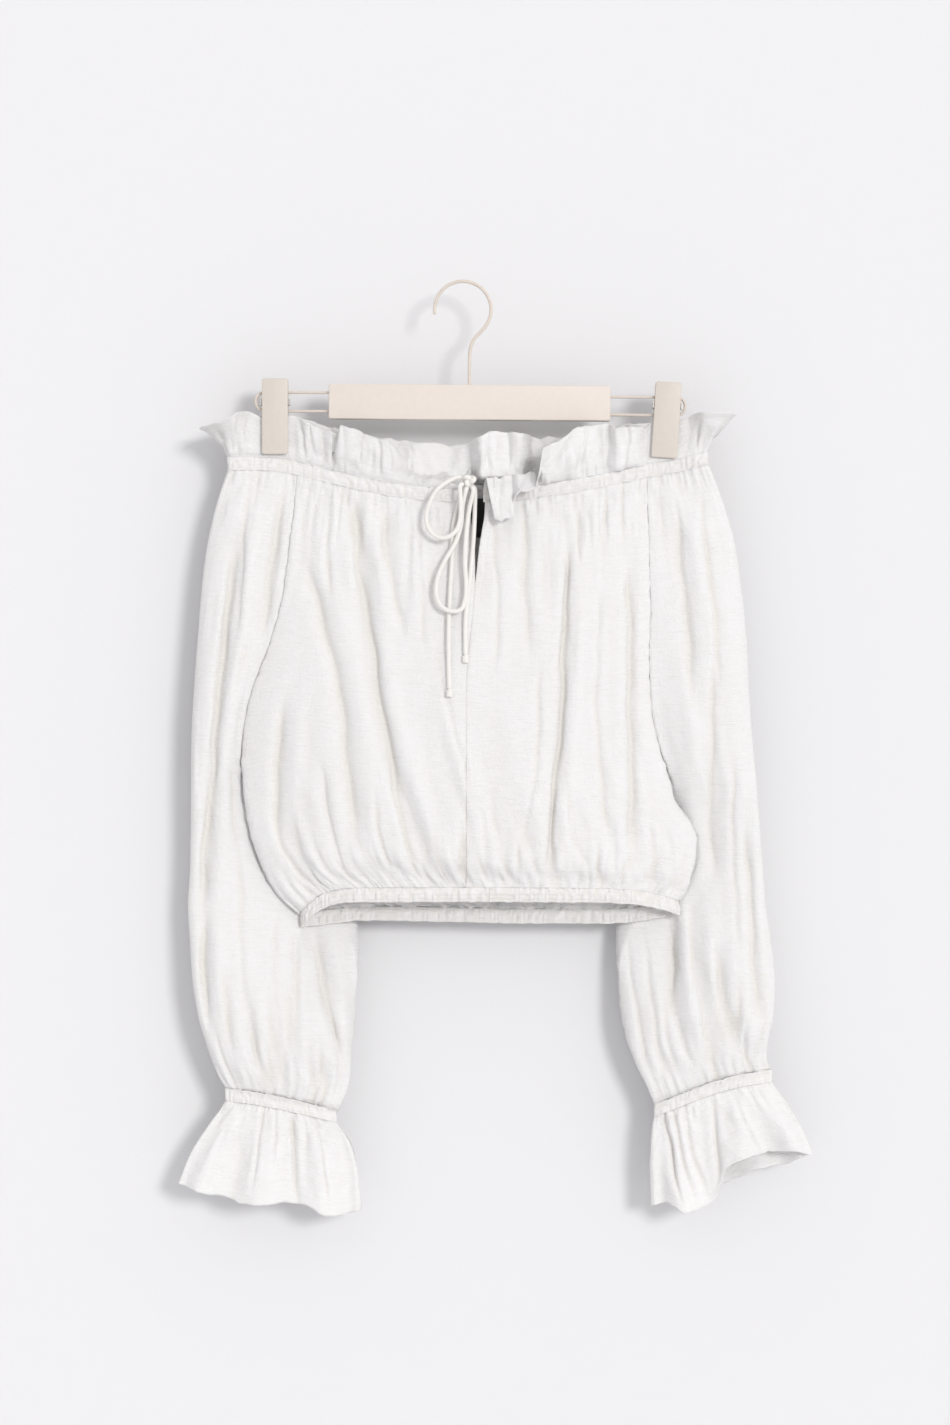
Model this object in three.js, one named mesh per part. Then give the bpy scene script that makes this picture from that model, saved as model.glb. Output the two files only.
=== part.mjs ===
import * as THREE from "three";

// Off-shoulder gauze top on a clip hanger, as it hangs
// Millimetres, +Z up, +X to the right and -Y towards the viewer
// The origin is the inside top of the hanger's hook

// Cloth and seams
const WALL = 1.2;
const CASING_WALL = 1.5;
const SEAM = 0.3;
const UNDERARM = 0.6667;
const NECK_BAND = 9.6;
const HEM_BAND = 10.4;
const WRIST_BAND = 8;

// Pleats and waves
const NECK_PLEATS = 41;
const HEM_PLEATS = 37;
const WRIST_PLEATS = 18;
const RUFFLE_WAVES = 22;
const CUFF_WAVES = 8;

// Drawstring
const CORD_D = 3.6;
const CORD_LIFT = 3.3;

// Hanger
const HOOK_R = 22.6;
const HOOK_WIRE = 2.8;
const BAR = { x: 6, z: -95.8, width: 225, height: 28, depth: 11.4 };
const ARM_WIRE = 2.4;
const HANGER_TILT = 0.45;
const CLIP = { width: 20.8, height: 60.6, jaw: 3.4, inner: 2.5 };

// Makes rows with named columns out of a short table
const table = (columns, rows) =>
  rows.map((row) => Object.fromEntries(columns.map((name, i) => [name, row[i]])));

// Left and right edges of the front and back by their share of the way down the seam:
// armhole seams down to the underarm, side seams below it
const EDGES = table(
  ["v", "left_x", "left_z", "right_x", "right_z"],
  [
    [0, -132.8, -155.2, 147.2, -155.2],
    [0.08, -135.2, -183.2, 148, -184.8],
    [0.17, -138.8, -213.6, 148.8, -217.6],
    [0.28, -144, -252, 149.6, -258.4],
    [0.39, -154.4, -289.6, 148.8, -298.4],
    [0.5, -168.8, -328, 150.4, -338.8],
    [0.59, -175.6, -359.2, 157.6, -372],
    [UNDERARM, -177.6, -385.6, 166.4, -400],
    [0.7, -176.4, -397.6, 168.6, -411.2],
    [0.75, -174.8, -416, 180, -427.2],
    [0.8, -171.6, -434.4, 187.5, -444],
    [0.85, -166.4, -452.8, 187, -459.2],
    [0.9, -159.2, -471.2, 183.2, -473.6],
    [0.95, -148.8, -488, 180, -484],
    [1, -132, -503.2, 173.6, -493.6],
  ],
);

// How far the front and back stand from the seam plane, by the same share
const DEPTHS = table(
  ["v", "front_seam", "front_belly", "back_seam", "back_belly", "sleeve"],
  [
    [0, -3, 9, 3, 5, 4],
    [0.08, -6, 11, 5, 6, 9],
    [0.17, -8.5, 13, 7, 6, 11.5],
    [0.28, -9.5, 16, 8, 6, 13.5],
    [0.39, -9, 19, 7.5, 7, 14],
    [0.5, -6, 23, 5.5, 8, 13.5],
    [0.59, -3, 26, 3, 9, 12],
    [UNDERARM, -0.75, 29, 0.75, 10, 10],
    [0.8, -0.75, 31, 0.75, 11, 10],
    [0.92, -0.75, 32, 0.75, 11, 10],
    [1, -0.75, 24, 0.75, 9, 10],
  ],
);

// Centre-front line and the half width of its keyhole slit
const CENTRE = table(
  ["z", "x", "half"],
  [
    [-510, 2.4, SEAM / 2],
    [-330, 2.6, SEAM / 2],
    [-246, 9.4, SEAM / 2],
    [-232, 10.2, 1.6],
    [-214, 11, 3.6],
    [-190, 11.6, 5.6],
    [-160, 12, 6.6],
  ],
);

// Centre line of the neck casing: height at front and back, depth at front and back
const NECK = table(
  ["x", "front_z", "front_y", "back_z", "back_y"],
  [
    [-188, -145, -3.2, -145, 3.2],
    [-172, -144.4, -3.4, -144.2, 3.4],
    [-162, -144.6, -1.4, -144.4, 1.4],
    [-138, -147, -1.4, -146.2, 1.4],
    [-128, -149.6, -3.2, -148.4, 3],
    [-98, -157.4, -7, -155, 5.6],
    [-50, -166.8, -11.5, -162.8, 8.5],
    [-10, -170.4, -13, -165.4, 9.4],
    [30, -170, -13, -165, 9.4],
    [78, -164.4, -11.5, -160.8, 8.5],
    [118, -157, -7.5, -155, 6],
    [138, -152.4, -4.2, -151.2, 3.8],
    [150, -149.8, -1.4, -149.2, 1.4],
    [175, -145.6, -1.4, -145.2, 1.4],
    [186, -142.6, -3.4, -142.4, 3.4],
    [196, -139.6, -3.2, -139.6, 3.2],
  ],
);
const NECK_ENDS = { left: -188, right: 196, round: 5 };
const SLIT_EDGES = { left: 4.6, right: 16.2 };

// Centre line of the hem casing
const HEM = table(
  ["x", "front_z", "front_y", "back_z", "back_y"],
  [
    [-129.6, -508.4, -5, -509.6, 5],
    [-120.8, -500.4, -9, -508.6, 7],
    [-110.4, -493.4, -12, -507.4, 8],
    [-98.4, -489.8, -15, -506, 8.5],
    [-82.4, -488.6, -18, -504.6, 9],
    [-30, -488.2, -22, -505.2, 9.5],
    [60, -488.4, -22, -507, 9.5],
    [109.6, -489, -19, -507, 9],
    [141.6, -491.2, -14, -505, 8],
    [161.6, -496, -8, -501.6, 7],
    [172.4, -499.6, -5, -500, 5],
  ],
);
const HEM_ENDS = { left: -129.6, right: 172.4, round: 7 };

// Height and lean of the neck ruffle, in degrees from upright, forward for the front
const RUFFLE_FRONT = table(
  ["x", "height", "lean"],
  [
    [-188, 41, 42],
    [-178, 38, 22],
    [-166, 34, 0],
    [-158, 31, 0],
    [-150, 32.5, 0],
    [-142, 35, 0],
    [-132, 36.5, 3],
    [-120, 33, 16],
    [-104, 31, 14],
    [-86, 36, 6],
    [-66, 37, -4],
    [-40, 37, -14],
    [4.6, 38, -20],
    [12, 38, 166],
    [26, 37, 156],
    [36, 36, 118],
    [46, 35, 78],
    [60, 36, 52],
    [76, 38, 28],
    [94, 40, 12],
    [112, 41, 4],
    [138, 37, 0],
    [152, 33.5, 0],
    [162, 32.5, 0],
    [172, 31, 0],
    [180, 32, 6],
    [188, 38, 28],
    [196, 41, 42],
  ],
);
const RUFFLE_BACK = table(
  ["x", "height", "lean"],
  [
    [-188, 41, 42],
    [-178, 37, 20],
    [-166, 33, 0],
    [-150, 32, 0],
    [-136, 34, 0],
    [-110, 35, 8],
    [-50, 33, 12],
    [10, 32, 14],
    [80, 33, 12],
    [130, 35, 6],
    [148, 33, 0],
    [162, 32, 0],
    [174, 31, 0],
    [181, 32, 6],
    [188, 38, 26],
    [196, 41, 42],
  ],
);

// Outer outline of the upper sleeves by the share of the way down the armhole
const SLEEVE_TOPS = table(
  ["v", "left_x", "right_x"],
  [
    [0, -188, 196],
    [0.08, -197.5, 208],
    [0.17, -204.6, 217.4],
    [0.28, -209.6, 223.6],
    [0.39, -212.6, 227.4],
    [0.5, -215.4, 229.4],
    [0.59, -217, 232],
    [UNDERARM, -217.6, 235.2],
  ],
);

// Tube of each sleeve from the underarm to the wrist: both edges, their depth and half depth
const TUBE_COLUMNS = ["drop", "outer_x", "outer_z", "inner_x", "inner_z", "outer_y", "inner_y", "half"];
const SLEEVE_LEFT = table(TUBE_COLUMNS, [
  [0, -217.6, -385.6, -177.9, -385.6, 3, 0.6, 10],
  [0.05, -217.6, -394, -180, -394, 3, 6, 10],
  [0.12, -217.6, -406, -174, -406, 3.5, 14, 10],
  [0.2, -217.7, -421, -157, -421, 3.5, 20, 10.5],
  [0.3, -218, -441, -132, -441, 4, 24, 11.5],
  [0.4, -218.4, -468, -106, -468, 4, 26, 12],
  [0.52, -220, -498, -90, -498, 4, 26, 12.5],
  [0.63, -218.4, -526, -84, -526, 3, 22, 14],
  [0.75, -216.5, -555, -84.5, -555, 1.5, 15, 15],
  [0.84, -212, -585, -86.5, -585, 0.5, 11, 15],
  [0.91, -204, -612, -89, -614, 0, 8, 13],
  [0.96, -196, -633, -90.5, -638, 0, 5.5, 9.5],
  [1, -188.5, -645.2, -100.8, -662.8, 0, 3, 5.5],
]);
const SLEEVE_RIGHT = table(TUBE_COLUMNS, [
  [0, 235.2, -400, 166.7, -400, 3, 0.6, 10],
  [0.05, 235.6, -408, 169.8, -408, 3, 7, 10],
  [0.12, 236.4, -420, 168, -420, 3.5, 15, 10],
  [0.2, 237.6, -436, 159, -436, 3.5, 21, 10.5],
  [0.3, 239, -454, 146, -454, 4, 24, 11.5],
  [0.4, 240.5, -474, 134, -474, 4, 26, 12],
  [0.52, 242.5, -500, 125, -500, 4, 26, 12.5],
  [0.63, 246.4, -526, 123.2, -526, 3, 22, 14],
  [0.75, 250, -560, 124.5, -558, 1.5, 15, 15],
  [0.84, 249, -584, 127, -585, 0.5, 11, 15],
  [0.91, 245, -603, 132, -608, 0, 8, 12.5],
  [0.96, 243, -618, 143, -634, 0, 5.5, 9],
  [1, 245.6, -630.4, 153.6, -658.2, 0, 3, 5.5],
]);

// Cuff ruffles below the wrist casings
const CUFF_COLUMNS = ["drop", "outer_x", "outer_z", "inner_x", "inner_z", "half"];
const CUFF_LEFT = table(CUFF_COLUMNS, [
  [0, -189.6, -654, -101.6, -671.6, 5.5],
  [0.33, -204.8, -676, -90.4, -688, 8],
  [0.66, -218.4, -697, -84, -711, 10.5],
  [1, -228, -720.8, -81.6, -741.6, 12],
]);
const CUFF_RIGHT = table(CUFF_COLUMNS, [
  [0, 246.6, -639.2, 153.2, -667, 5.5],
  [0.33, 260, -658, 150.4, -689.6, 8],
  [0.66, 271.2, -676, 149.6, -713.6, 10.5],
  [1, 279.2, -696.8, 150.4, -738.4, 12],
]);

// How far the cuffs' lower edges lie above the straight line between their ends
const CUFF_EDGES = table(
  ["share", "left_front", "left_back", "right_front", "right_back"],
  [
    [0, 0, 0, 0, 0],
    [0.06, -1.5, -1, 4, -1],
    [0.14, -3, 1, 8.8, -3],
    [0.23, -4, 2, 12, -1],
    [0.34, -7, 3, 15, 0],
    [0.45, -6, 2, 15, -2],
    [0.54, -3, 1, 12, -3],
    [0.62, -1, 0, -12, -4],
    [0.7, -1, 2, -14.5, -5],
    [0.79, -7, 3, -13.6, -6],
    [0.9, -6, 1, -2, -3],
    [1, 0, 0, 0, 0],
  ],
);

// Main folds of the body: three points down each one, its half width, depth and raised side
const FOLD_COLUMNS = ["x_top", "z_top", "x_mid", "z_mid", "x_low", "z_low", "width", "depth", "lip"];
const BODY_FOLDS = table(FOLD_COLUMNS, [
  [-86, -170, -70, -326, -26, -478, 7, 5.5, 1],
  [-64, -174, -56, -230, -48, -286, 6, 2.4, -1],
  [-126, -222, -100, -318, -85, -438, 8, 4, 1],
  [-142, -334, -148, -414, -118, -488, 7, 4, 1],
  [-113, -382, -106, -430, -90, -478, 6, 4, -1],
  [84, -206, 79, -334, 66, -474, 5.5, 5.5, 1],
  [47, -174, 50, -237, 52, -302, 7, 2, 1],
  [132, -222, 133.6, -334, 135, -463, 6, 4.5, -1],
  [-18, -334, -2, -382, 12, -434, 8, -2.5, 0],
  [-1, -426, 1, -455, 6, -484, 6, 2.5, -1],
  [23, -406, 30, -442, 39, -478, 6, 2.5, 1],
  [84, -398, 90, -435, 101, -470, 6, 3, 1],
]);
const BACK_FOLDS = table(FOLD_COLUMNS, [
  [-90, -176, -84, -320, -58, -486, 9, -4, 1],
  [-30, -170, -24, -330, -10, -490, 9, -3, -1],
  [60, -172, 66, -330, 58, -488, 9, -4, 1],
  [118, -190, 122, -330, 112, -480, 9, -3, -1],
]);
const SLEEVE_LEFT_FOLDS = table(FOLD_COLUMNS, [
  [-144, -160, -154, -225, -162, -285, 6, 3, -1],
  [-180, -200, -196, -350, -208, -500, 6, 4.5, 1],
  [-206, -500, -207, -560, -203, -600, 6, 4, 1],
  [-121, -512, -110, -560, -98, -628, 7, 5, 1],
  [-171, -565, -167, -601, -160, -634, 6, 3, -1],
]);
const SLEEVE_RIGHT_FOLDS = table(FOLD_COLUMNS, [
  [168, -175, 178, -260, 186, -350, 7, 3, 1],
  [197, -300, 198, -400, 200, -478, 8, 3.5, -1],
  [167, -505, 168, -560, 180, -615, 6.5, 4, 1],
  [184, -493, 190, -560, 202, -620, 6, 3, 1],
  [203, -525, 209, -570, 217, -610, 6, 3.5, 1],
  [226, -430, 231, -520, 236, -596, 6, 3, 1],
]);

// Colours as seen
const GAUZE = "#efece4";
const GAUZE_DEEP = "#e9e5db";
const STRING = "#efeade";
const BLACK = "#1c1b1c";
const CREAM = "#e4d6c6";
const CLIP_GREY = "#d9d2c6";
const STEEL = "#c9c3b8";

const finish = (name, colour, roughness, metalness) => {
  const made = new THREE.MeshStandardMaterial({ color: colour, roughness, metalness });
  made.name = name;
  return made;
};
const cloth = finish("gauze", GAUZE, 0.92, 0);
const casingCloth = finish("gauze_casing", GAUZE_DEEP, 0.92, 0);
const cordCloth = finish("cord", STRING, 0.88, 0);
const labelCloth = finish("label", BLACK, 0.8, 0);
const plastic = finish("bar_plastic", CREAM, 0.5, 0);
const clipPlastic = finish("clip_plastic", CLIP_GREY, 0.42, 0);
const painted = finish("painted_wire", CREAM, 0.45, 0.1);
const steel = finish("spring_steel", STEEL, 0.35, 0.9);

const part = new THREE.Group();
part.name = "off_shoulder_top";
function add(name, geometry, material) {
  const mesh = new THREE.Mesh(geometry, material);
  mesh.name = name;
  part.add(mesh);
  return mesh;
}

const clamp = (value, low, high) => Math.min(Math.max(value, low), high);
const mix = (a, b, share) => a + (b - a) * share;
function ramp(value, from, to) {
  const share = clamp((value - from) / (to - from), 0, 1);
  return share * share * (3 - 2 * share);
}

// Reads one column of a table by its first column, smoothly and without overshoot
function read(rows, column, at) {
  const key = Object.keys(rows[0])[0];
  const last = rows.length - 1;
  if (at <= rows[0][key]) return rows[0][column];
  if (at >= rows[last][key]) return rows[last][column];
  let i = 0;
  while (at > rows[i + 1][key]) i += 1;
  const slope = (k) => {
    const run = rows[k + 1][key] - rows[k][key];
    return (rows[k + 1][column] - rows[k][column]) / run;
  };
  const tangent = (k) => {
    if (k === 0) return slope(0);
    if (k === last) return slope(last - 1);
    const before = slope(k - 1);
    const after = slope(k);
    return before * after <= 0 ? 0 : (2 * before * after) / (before + after);
  };
  const run = rows[i + 1][key] - rows[i][key];
  const t = (at - rows[i][key]) / run;
  const a = rows[i][column];
  const b = rows[i + 1][column];
  const hermite = (2 * t ** 3 - 3 * t ** 2 + 1) * a + (3 * t ** 2 - 2 * t ** 3) * b;
  const bend = (t ** 3 - 2 * t ** 2 + t) * tangent(i) + (t ** 3 - t ** 2) * tangent(i + 1);
  return hermite + bend * run;
}

// Depth of all folds of a list at one place, positive away from the viewer
function foldDepth(folds, x, z) {
  let sum = 0;
  for (const f of folds) {
    if (z > f.z_top + 12 || z < f.z_low - 12) continue;
    const line = [
      { z: f.z_low, x: f.x_low },
      { z: f.z_mid, x: f.x_mid },
      { z: f.z_top, x: f.x_top },
    ];
    const d = (x - read(line, "x", z)) / f.width;
    const fade = ramp(z, f.z_low - 12, f.z_low + 28) * (1 - ramp(z, f.z_top - 34, f.z_top + 12));
    const trough = Math.exp(-d * d);
    const lip = f.lip === 0 ? 0 : 0.55 * Math.exp(-((d - 1.9 * f.lip) ** 2));
    sum += f.depth * (trough - lip) * fade;
  }
  return sum;
}

// A cloth wall around the surface at(u, v); hold moves the points of the seam edges,
// and the flat edges keep their height so that a seam stays open all along
function wall(name, material, us, vs, at, options = {}) {
  const { thick = WALL, ring = false, hold = null, flatTop = true, flatLow = true } = options;
  const step = 1e-3;
  const turn = Math.sign(us[1] - us[0]);
  const low = Math.min(us[0], us[us.length - 1]);
  const high = Math.max(us[0], us[us.length - 1]);
  const place = [];
  for (const side of [0.5, -0.5]) {
    for (const v of vs) {
      for (const u of us) {
        const before = at(ring ? u - turn * step : clamp(u - turn * step, low, high), v);
        const after = at(ring ? u + turn * step : clamp(u + turn * step, low, high), v);
        const above = at(u, Math.max(v - step, vs[0]));
        const below = at(u, Math.min(v + step, vs[vs.length - 1]));
        const across = after.sub(before);
        const down = below.sub(above);
        const normal = down.cross(across).normalize();
        const p = at(u, v).addScaledVector(normal, side * thick);
        if ((flatTop && v === vs[0]) || (flatLow && v === vs[vs.length - 1])) p.z = at(u, v).z;
        if (hold) hold(p, u, v);
        place.push(p);
      }
    }
  }
  const columns = us.length;
  const rows = vs.length;
  const half = columns * rows;
  const id = (side, j, i) => side * half + j * columns + (i % columns);
  const index = [];
  const quad = (a, b, c, d) => index.push(a, b, c, a, c, d);
  const across = ring ? columns : columns - 1;
  for (let j = 0; j < rows - 1; j += 1) {
    for (let i = 0; i < across; i += 1) {
      quad(id(0, j, i), id(0, j + 1, i), id(0, j + 1, i + 1), id(0, j, i + 1));
      quad(id(1, j, i), id(1, j, i + 1), id(1, j + 1, i + 1), id(1, j + 1, i));
    }
  }
  for (let i = 0; i < across; i += 1) {
    quad(id(0, 0, i), id(0, 0, i + 1), id(1, 0, i + 1), id(1, 0, i));
    const last = rows - 1;
    quad(id(0, last, i + 1), id(0, last, i), id(1, last, i), id(1, last, i + 1));
  }
  if (!ring) {
    for (let j = 0; j < rows - 1; j += 1) {
      quad(id(0, j + 1, 0), id(0, j, 0), id(1, j, 0), id(1, j + 1, 0));
      const end = columns - 1;
      quad(id(0, j, end), id(0, j + 1, end), id(1, j + 1, end), id(1, j, end));
    }
  }
  const geometry = new THREE.BufferGeometry();
  geometry.setAttribute(
    "position",
    new THREE.Float32BufferAttribute(place.flatMap((p) => [p.x, p.y, p.z]), 3),
  );
  geometry.setIndex(index);
  geometry.computeVertexNormals();
  return add(name, geometry, material);
}

const spread = (count, from = 0, to = 1) =>
  Array.from({ length: count }, (_, i) => mix(from, to, i / (count - 1)));

// Rounding of a flat ring towards its two ends
function endRound(x, ends) {
  const near = Math.min(x - ends.left, ends.right - x);
  const share = clamp(near / ends.round, 0, 1);
  return Math.sqrt(1 - (1 - share) ** 2);
}

// A flat ring through a table of front and back lines, as points with lengths
function ringOf(rows, ends, gap) {
  const points = [];
  const width = ends.right - ends.left;
  const put = (x, side) => {
    const depth = read(rows, side + "_y", x) * endRound(x, ends);
    points.push(new THREE.Vector3(x, depth, read(rows, side + "_z", x)));
  };
  const count = 160;
  const startShare = gap ? (gap.right - ends.left) / width : 0.5;
  const stopShare = gap ? (gap.left - ends.left) / width : 0.5;
  const angle = (share) => Math.acos(1 - 2 * share) / Math.PI;
  for (let i = 0; i <= count; i += 1) {
    const share = (1 - Math.cos(Math.PI * mix(angle(startShare), 1, i / count))) / 2;
    put(mix(ends.left, ends.right, share), "front");
  }
  for (let i = 1; i < 2 * count; i += 1) {
    const share = (1 + Math.cos((Math.PI * i) / (2 * count))) / 2;
    put(mix(ends.left, ends.right, share), "back");
  }
  for (let i = 0; i <= count; i += 1) {
    const share = (1 - Math.cos(Math.PI * mix(0, angle(stopShare), i / count))) / 2;
    put(mix(ends.left, ends.right, share), "front");
  }
  const lengths = [0];
  for (let i = 1; i < points.length; i += 1) {
    lengths.push(lengths[i - 1] + points[i].distanceTo(points[i - 1]));
  }
  const total = lengths[lengths.length - 1];
  const closed = !gap;
  // Place, outward direction and side of the ring at a share of its length
  return (share) => {
    const s = (closed ? share - Math.floor(share) : clamp(share, 0, 1)) * total;
    let i = 0;
    let high = lengths.length - 1;
    while (high - i > 1) {
      const middle = (i + high) >> 1;
      if (lengths[middle] <= s) i = middle;
      else high = middle;
    }
    const t = (s - lengths[i]) / Math.max(lengths[i + 1] - lengths[i], 1e-9);
    const p = points[i].clone().lerp(points[i + 1], t);
    const near = (k) => {
      const at = closed ? (k + points.length) % points.length : clamp(k, 0, points.length - 1);
      return points[at];
    };
    const run = near(i + 3).clone().sub(near(i - 2));
    const out = new THREE.Vector3(run.y, -run.x, 0).normalize();
    return { p, out, s, total };
  };
}
const neckRing = ringOf(NECK, NECK_ENDS, SLIT_EDGES);
const hemRing = ringOf(HEM, HEM_ENDS, null);

// Depth of the neck and hem rings at a place across
const neckY = (side, x) => read(NECK, side + "_y", x) * endRound(x, NECK_ENDS);
const hemY = (side, x) => read(HEM, side + "_y", x) * endRound(x, HEM_ENDS);

// Where the front or back lies at a share across and a share down
function bodyPoint(side, u, v) {
  const leftX = read(EDGES, "left_x", v);
  const rightX = read(EDGES, "right_x", v);
  const topX = mix(EDGES[0].left_x, EDGES[0].right_x, u);
  const low = EDGES[EDGES.length - 1];
  const lowX = mix(low.left_x, low.right_x, u);
  const x = mix(leftX, rightX, u);
  const topZ = read(NECK, side + "_z", topX) - NECK_BAND / 2 - SEAM;
  const lowZ = read(HEM, side + "_z", lowX) + HEM_BAND / 2 + 2 * SEAM;
  const leftZ = read(EDGES, "left_z", v);
  const rightZ = read(EDGES, "right_z", v);
  const seamZ = mix(leftZ, rightZ, u);
  const seamTop = mix(EDGES[0].left_z, EDGES[0].right_z, u);
  const seamLow = mix(low.left_z, low.right_z, u);
  const z = seamZ + (topZ - seamTop) * (1 - v) ** 1.5 + (lowZ - seamLow) * v ** 2;
  const sign = side === "front" ? -1 : 1;
  const arch = Math.sin(Math.PI * clamp(u, 0.0005, 0.9995)) ** 0.55;
  const belly = read(DEPTHS, side + "_seam", v) + sign * read(DEPTHS, side + "_belly", v) * arch;
  const atNeck = 1 - ramp(v, 0, 0.13);
  const atHem = ramp(v, 0.92, 1);
  let y = belly * (1 - atNeck - atHem) + neckY(side, topX) * atNeck;
  y += hemY(side, clamp(lowX, HEM_ENDS.left, HEM_ENDS.right)) * atHem;
  const edge = Math.min(u, 1 - u);
  const folds = side === "front" ? BODY_FOLDS : BACK_FOLDS;
  y += foldDepth(folds, x, z) * ramp(edge, 0, 0.05);
  return new THREE.Vector3(x, y, z);
}

// Share across and down of a place on the front or back, found by a few steps
function bodyShares(side, x, z) {
  let u = 0.5;
  let v = 0.5;
  for (let i = 0; i < 24; i += 1) {
    const p = bodyPoint(side, u, v);
    u = clamp(u + (x - p.x) / 330, 0, 1);
    v = clamp(v - (z - p.z) / 345, 0, 1);
  }
  return { u, v };
}
function bodyY(side, x, z) {
  const { u, v } = bodyShares(side, x, z);
  return bodyPoint(side, u, v).y;
}

// Keeps the edges of body pieces on their own side of the seams
function holdBody(side) {
  const sign = side === "front" ? -1 : 1;
  return (p, u, v) => {
    if (u > 0.0001 && u < 0.9999) return;
    const left = u < 0.5;
    if (v <= UNDERARM + 1e-6) {
      const seam = read(EDGES, left ? "left_x" : "right_x", v);
      p.x = left ? Math.max(p.x, seam + SEAM / 2) : Math.min(p.x, seam - SEAM / 2);
    }
    if (v >= UNDERARM - 1e-6) {
      p.y = sign < 0 ? Math.min(p.y, -SEAM / 2) : Math.max(p.y, SEAM / 2);
    }
  };
}

const BODY_ROWS = [
  0, 0.04, 0.08, 0.17, 0.28, 0.39, 0.5, 0.59, UNDERARM, 0.7, 0.75, 0.8, 0.86, 0.92, 0.97, 1,
];

// Front halves, cut at the centre-front seam and its keyhole slit
function frontPoint(half, w, v) {
  let u = half === "left" ? w * 0.5 : 0.5 + w * 0.5;
  for (let i = 0; i < 6; i += 1) {
    const p = bodyPoint("front", u, v);
    const centre = read(CENTRE, "x", p.z);
    const open = read(CENTRE, "half", p.z);
    const leftX = read(EDGES, "left_x", v);
    const rightX = read(EDGES, "right_x", v);
    const x = half === "left" ? mix(leftX, centre - open, w) : mix(centre + open, rightX, w);
    u = (x - leftX) / (rightX - leftX);
  }
  return bodyPoint("front", u, v);
}
const holdFront = holdBody("front");
for (const half of ["left", "right"]) {
  const eased = spread(26).map((w) =>
    half === "left" ? mix(w * w, w, 0.72) : 1 - mix((1 - w) ** 2, 1 - w, 0.72),
  );
  wall("front_" + half, cloth, eased, BODY_ROWS, (w, v) => frontPoint(half, w, v), {
    hold: (p, w, v) => holdFront(p, half === "left" ? (w === 0 ? 0 : 0.5) : w === 1 ? 1 : 0.5, v),
  });
}
const BACK_ROWS = BODY_ROWS.filter((v) => v !== 0.04);
const backShares = spread(20).map((t) => (1 - Math.cos(Math.PI * t)) / 2).map((c, i, all) =>
  mix(c, i / (all.length - 1), 0.4),
);
wall("back_panel", cloth, [...backShares].reverse(), BACK_ROWS, (u, v) => bodyPoint("back", u, v), {
  hold: holdBody("back"),
});

// Heights between which a sleeve comes forward again below the body
const AT_HEM = -532;
const BELOW_HEM = -590;

// A sleeve: open towards the armhole down to the underarm, then a tube to the wrist
function sleevePoint(which, t, turn) {
  const left = which === "left";
  const tube = left ? SLEEVE_LEFT : SLEEVE_RIGHT;
  const folds = left ? SLEEVE_LEFT_FOLDS : SLEEVE_RIGHT_FOLDS;
  const across = Math.sin(Math.PI * turn) ** 2;
  const front = turn < 0.5;
  const sign = front ? -1 : 1;
  const side = front ? "front" : "back";
  let x;
  let y;
  let z;
  let fade = 1;
  if (t <= 1) {
    const v = t * UNDERARM;
    const seamX = read(EDGES, which + "_x", v);
    const seamZ = read(EDGES, which + "_z", v);
    const outerX = read(SLEEVE_TOPS, which + "_x", v);
    x = mix(seamX, outerX, across);
    const topX = mix(EDGES[0][which + "_x"], left ? NECK_ENDS.left : NECK_ENDS.right, across);
    const topZ = read(NECK, side + "_z", topX) - NECK_BAND / 2 - 2 * SEAM;
    const rise = (topZ - EDGES[0][which + "_z"]) * (1 - t);
    z = seamZ + rise;
    const seamY = read(DEPTHS, side + "_seam", v);
    const round = Math.sqrt(Math.max(1 - across ** 4, 0));
    const middle = mix(0.6, 3, across) * ramp(t, 0, 0.3);
    const full = sign * read(DEPTHS, "sleeve", v) + middle;
    const own = mix(seamY, full, ramp(across, 0, 0.45)) * round + middle * (1 - round);
    const atNeck = 1 - ramp(v, 0, 0.13);
    y = mix(own, neckY(side, topX), atNeck);
    fade = ramp(t, 0, 0.2) * ramp(across, 0, 0.15);
  } else {
    const drop = t - 1;
    const outerX = read(tube, "outer_x", drop);
    const innerX = read(tube, "inner_x", drop);
    x = mix(innerX, outerX, across);
    z = mix(read(tube, "inner_z", drop), read(tube, "outer_z", drop), across);
    z += wristRise(which, across) * ramp(drop, 0.85, 1);
    const middle = mix(read(tube, "inner_y", drop), read(tube, "outer_y", drop), across);
    const half = read(tube, "half", drop);
    const thick = half * Math.sqrt(Math.max(1 - Math.abs(2 * across - 1) ** mix(4, 2, ramp(drop, 0.85, 1)), 0));
    y = middle + sign * thick;
    if (z > BELOW_HEM && drop > 0.02) {
      const from = edgeAt("left_x", z);
      const to = edgeAt("right_x", z);
      const inside = Math.min(x - from, to - x);
      const lowest = inside > 0 ? bodyY("back", x, z) + 3.6 : 4.4 + inside * 0.5;
      const limit = lowest + (front ? 0 : 2.6);
      if (y < limit) y = mix(limit, y, ramp(-z, -AT_HEM, -BELOW_HEM));
    }
    fade = (1 - ramp(drop, 0.9, 1)) * ramp(across, 0, 0.12);
  }
  const shade = front ? 1 : -0.7;
  y += shade * foldDepth(folds, x, z) * fade * ramp(1 - across, 0, 0.08);
  return new THREE.Vector3(x, y, z);
}

// Edge of the body at a height
function edgeAt(column, z) {
  const zColumn = column.replace("_x", "_z");
  let low = 0;
  let high = 1;
  for (let i = 0; i < 20; i += 1) {
    const middle = (low + high) / 2;
    if (read(EDGES, zColumn, middle) > z) low = middle;
    else high = middle;
  }
  return read(EDGES, column, low);
}

// The wrist line is a little arched
function wristRise(which, across) {
  return (which === "left" ? 2.5 : 5.5) * Math.sin(Math.PI * across) * (0.5 + across * 0.6);
}

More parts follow.
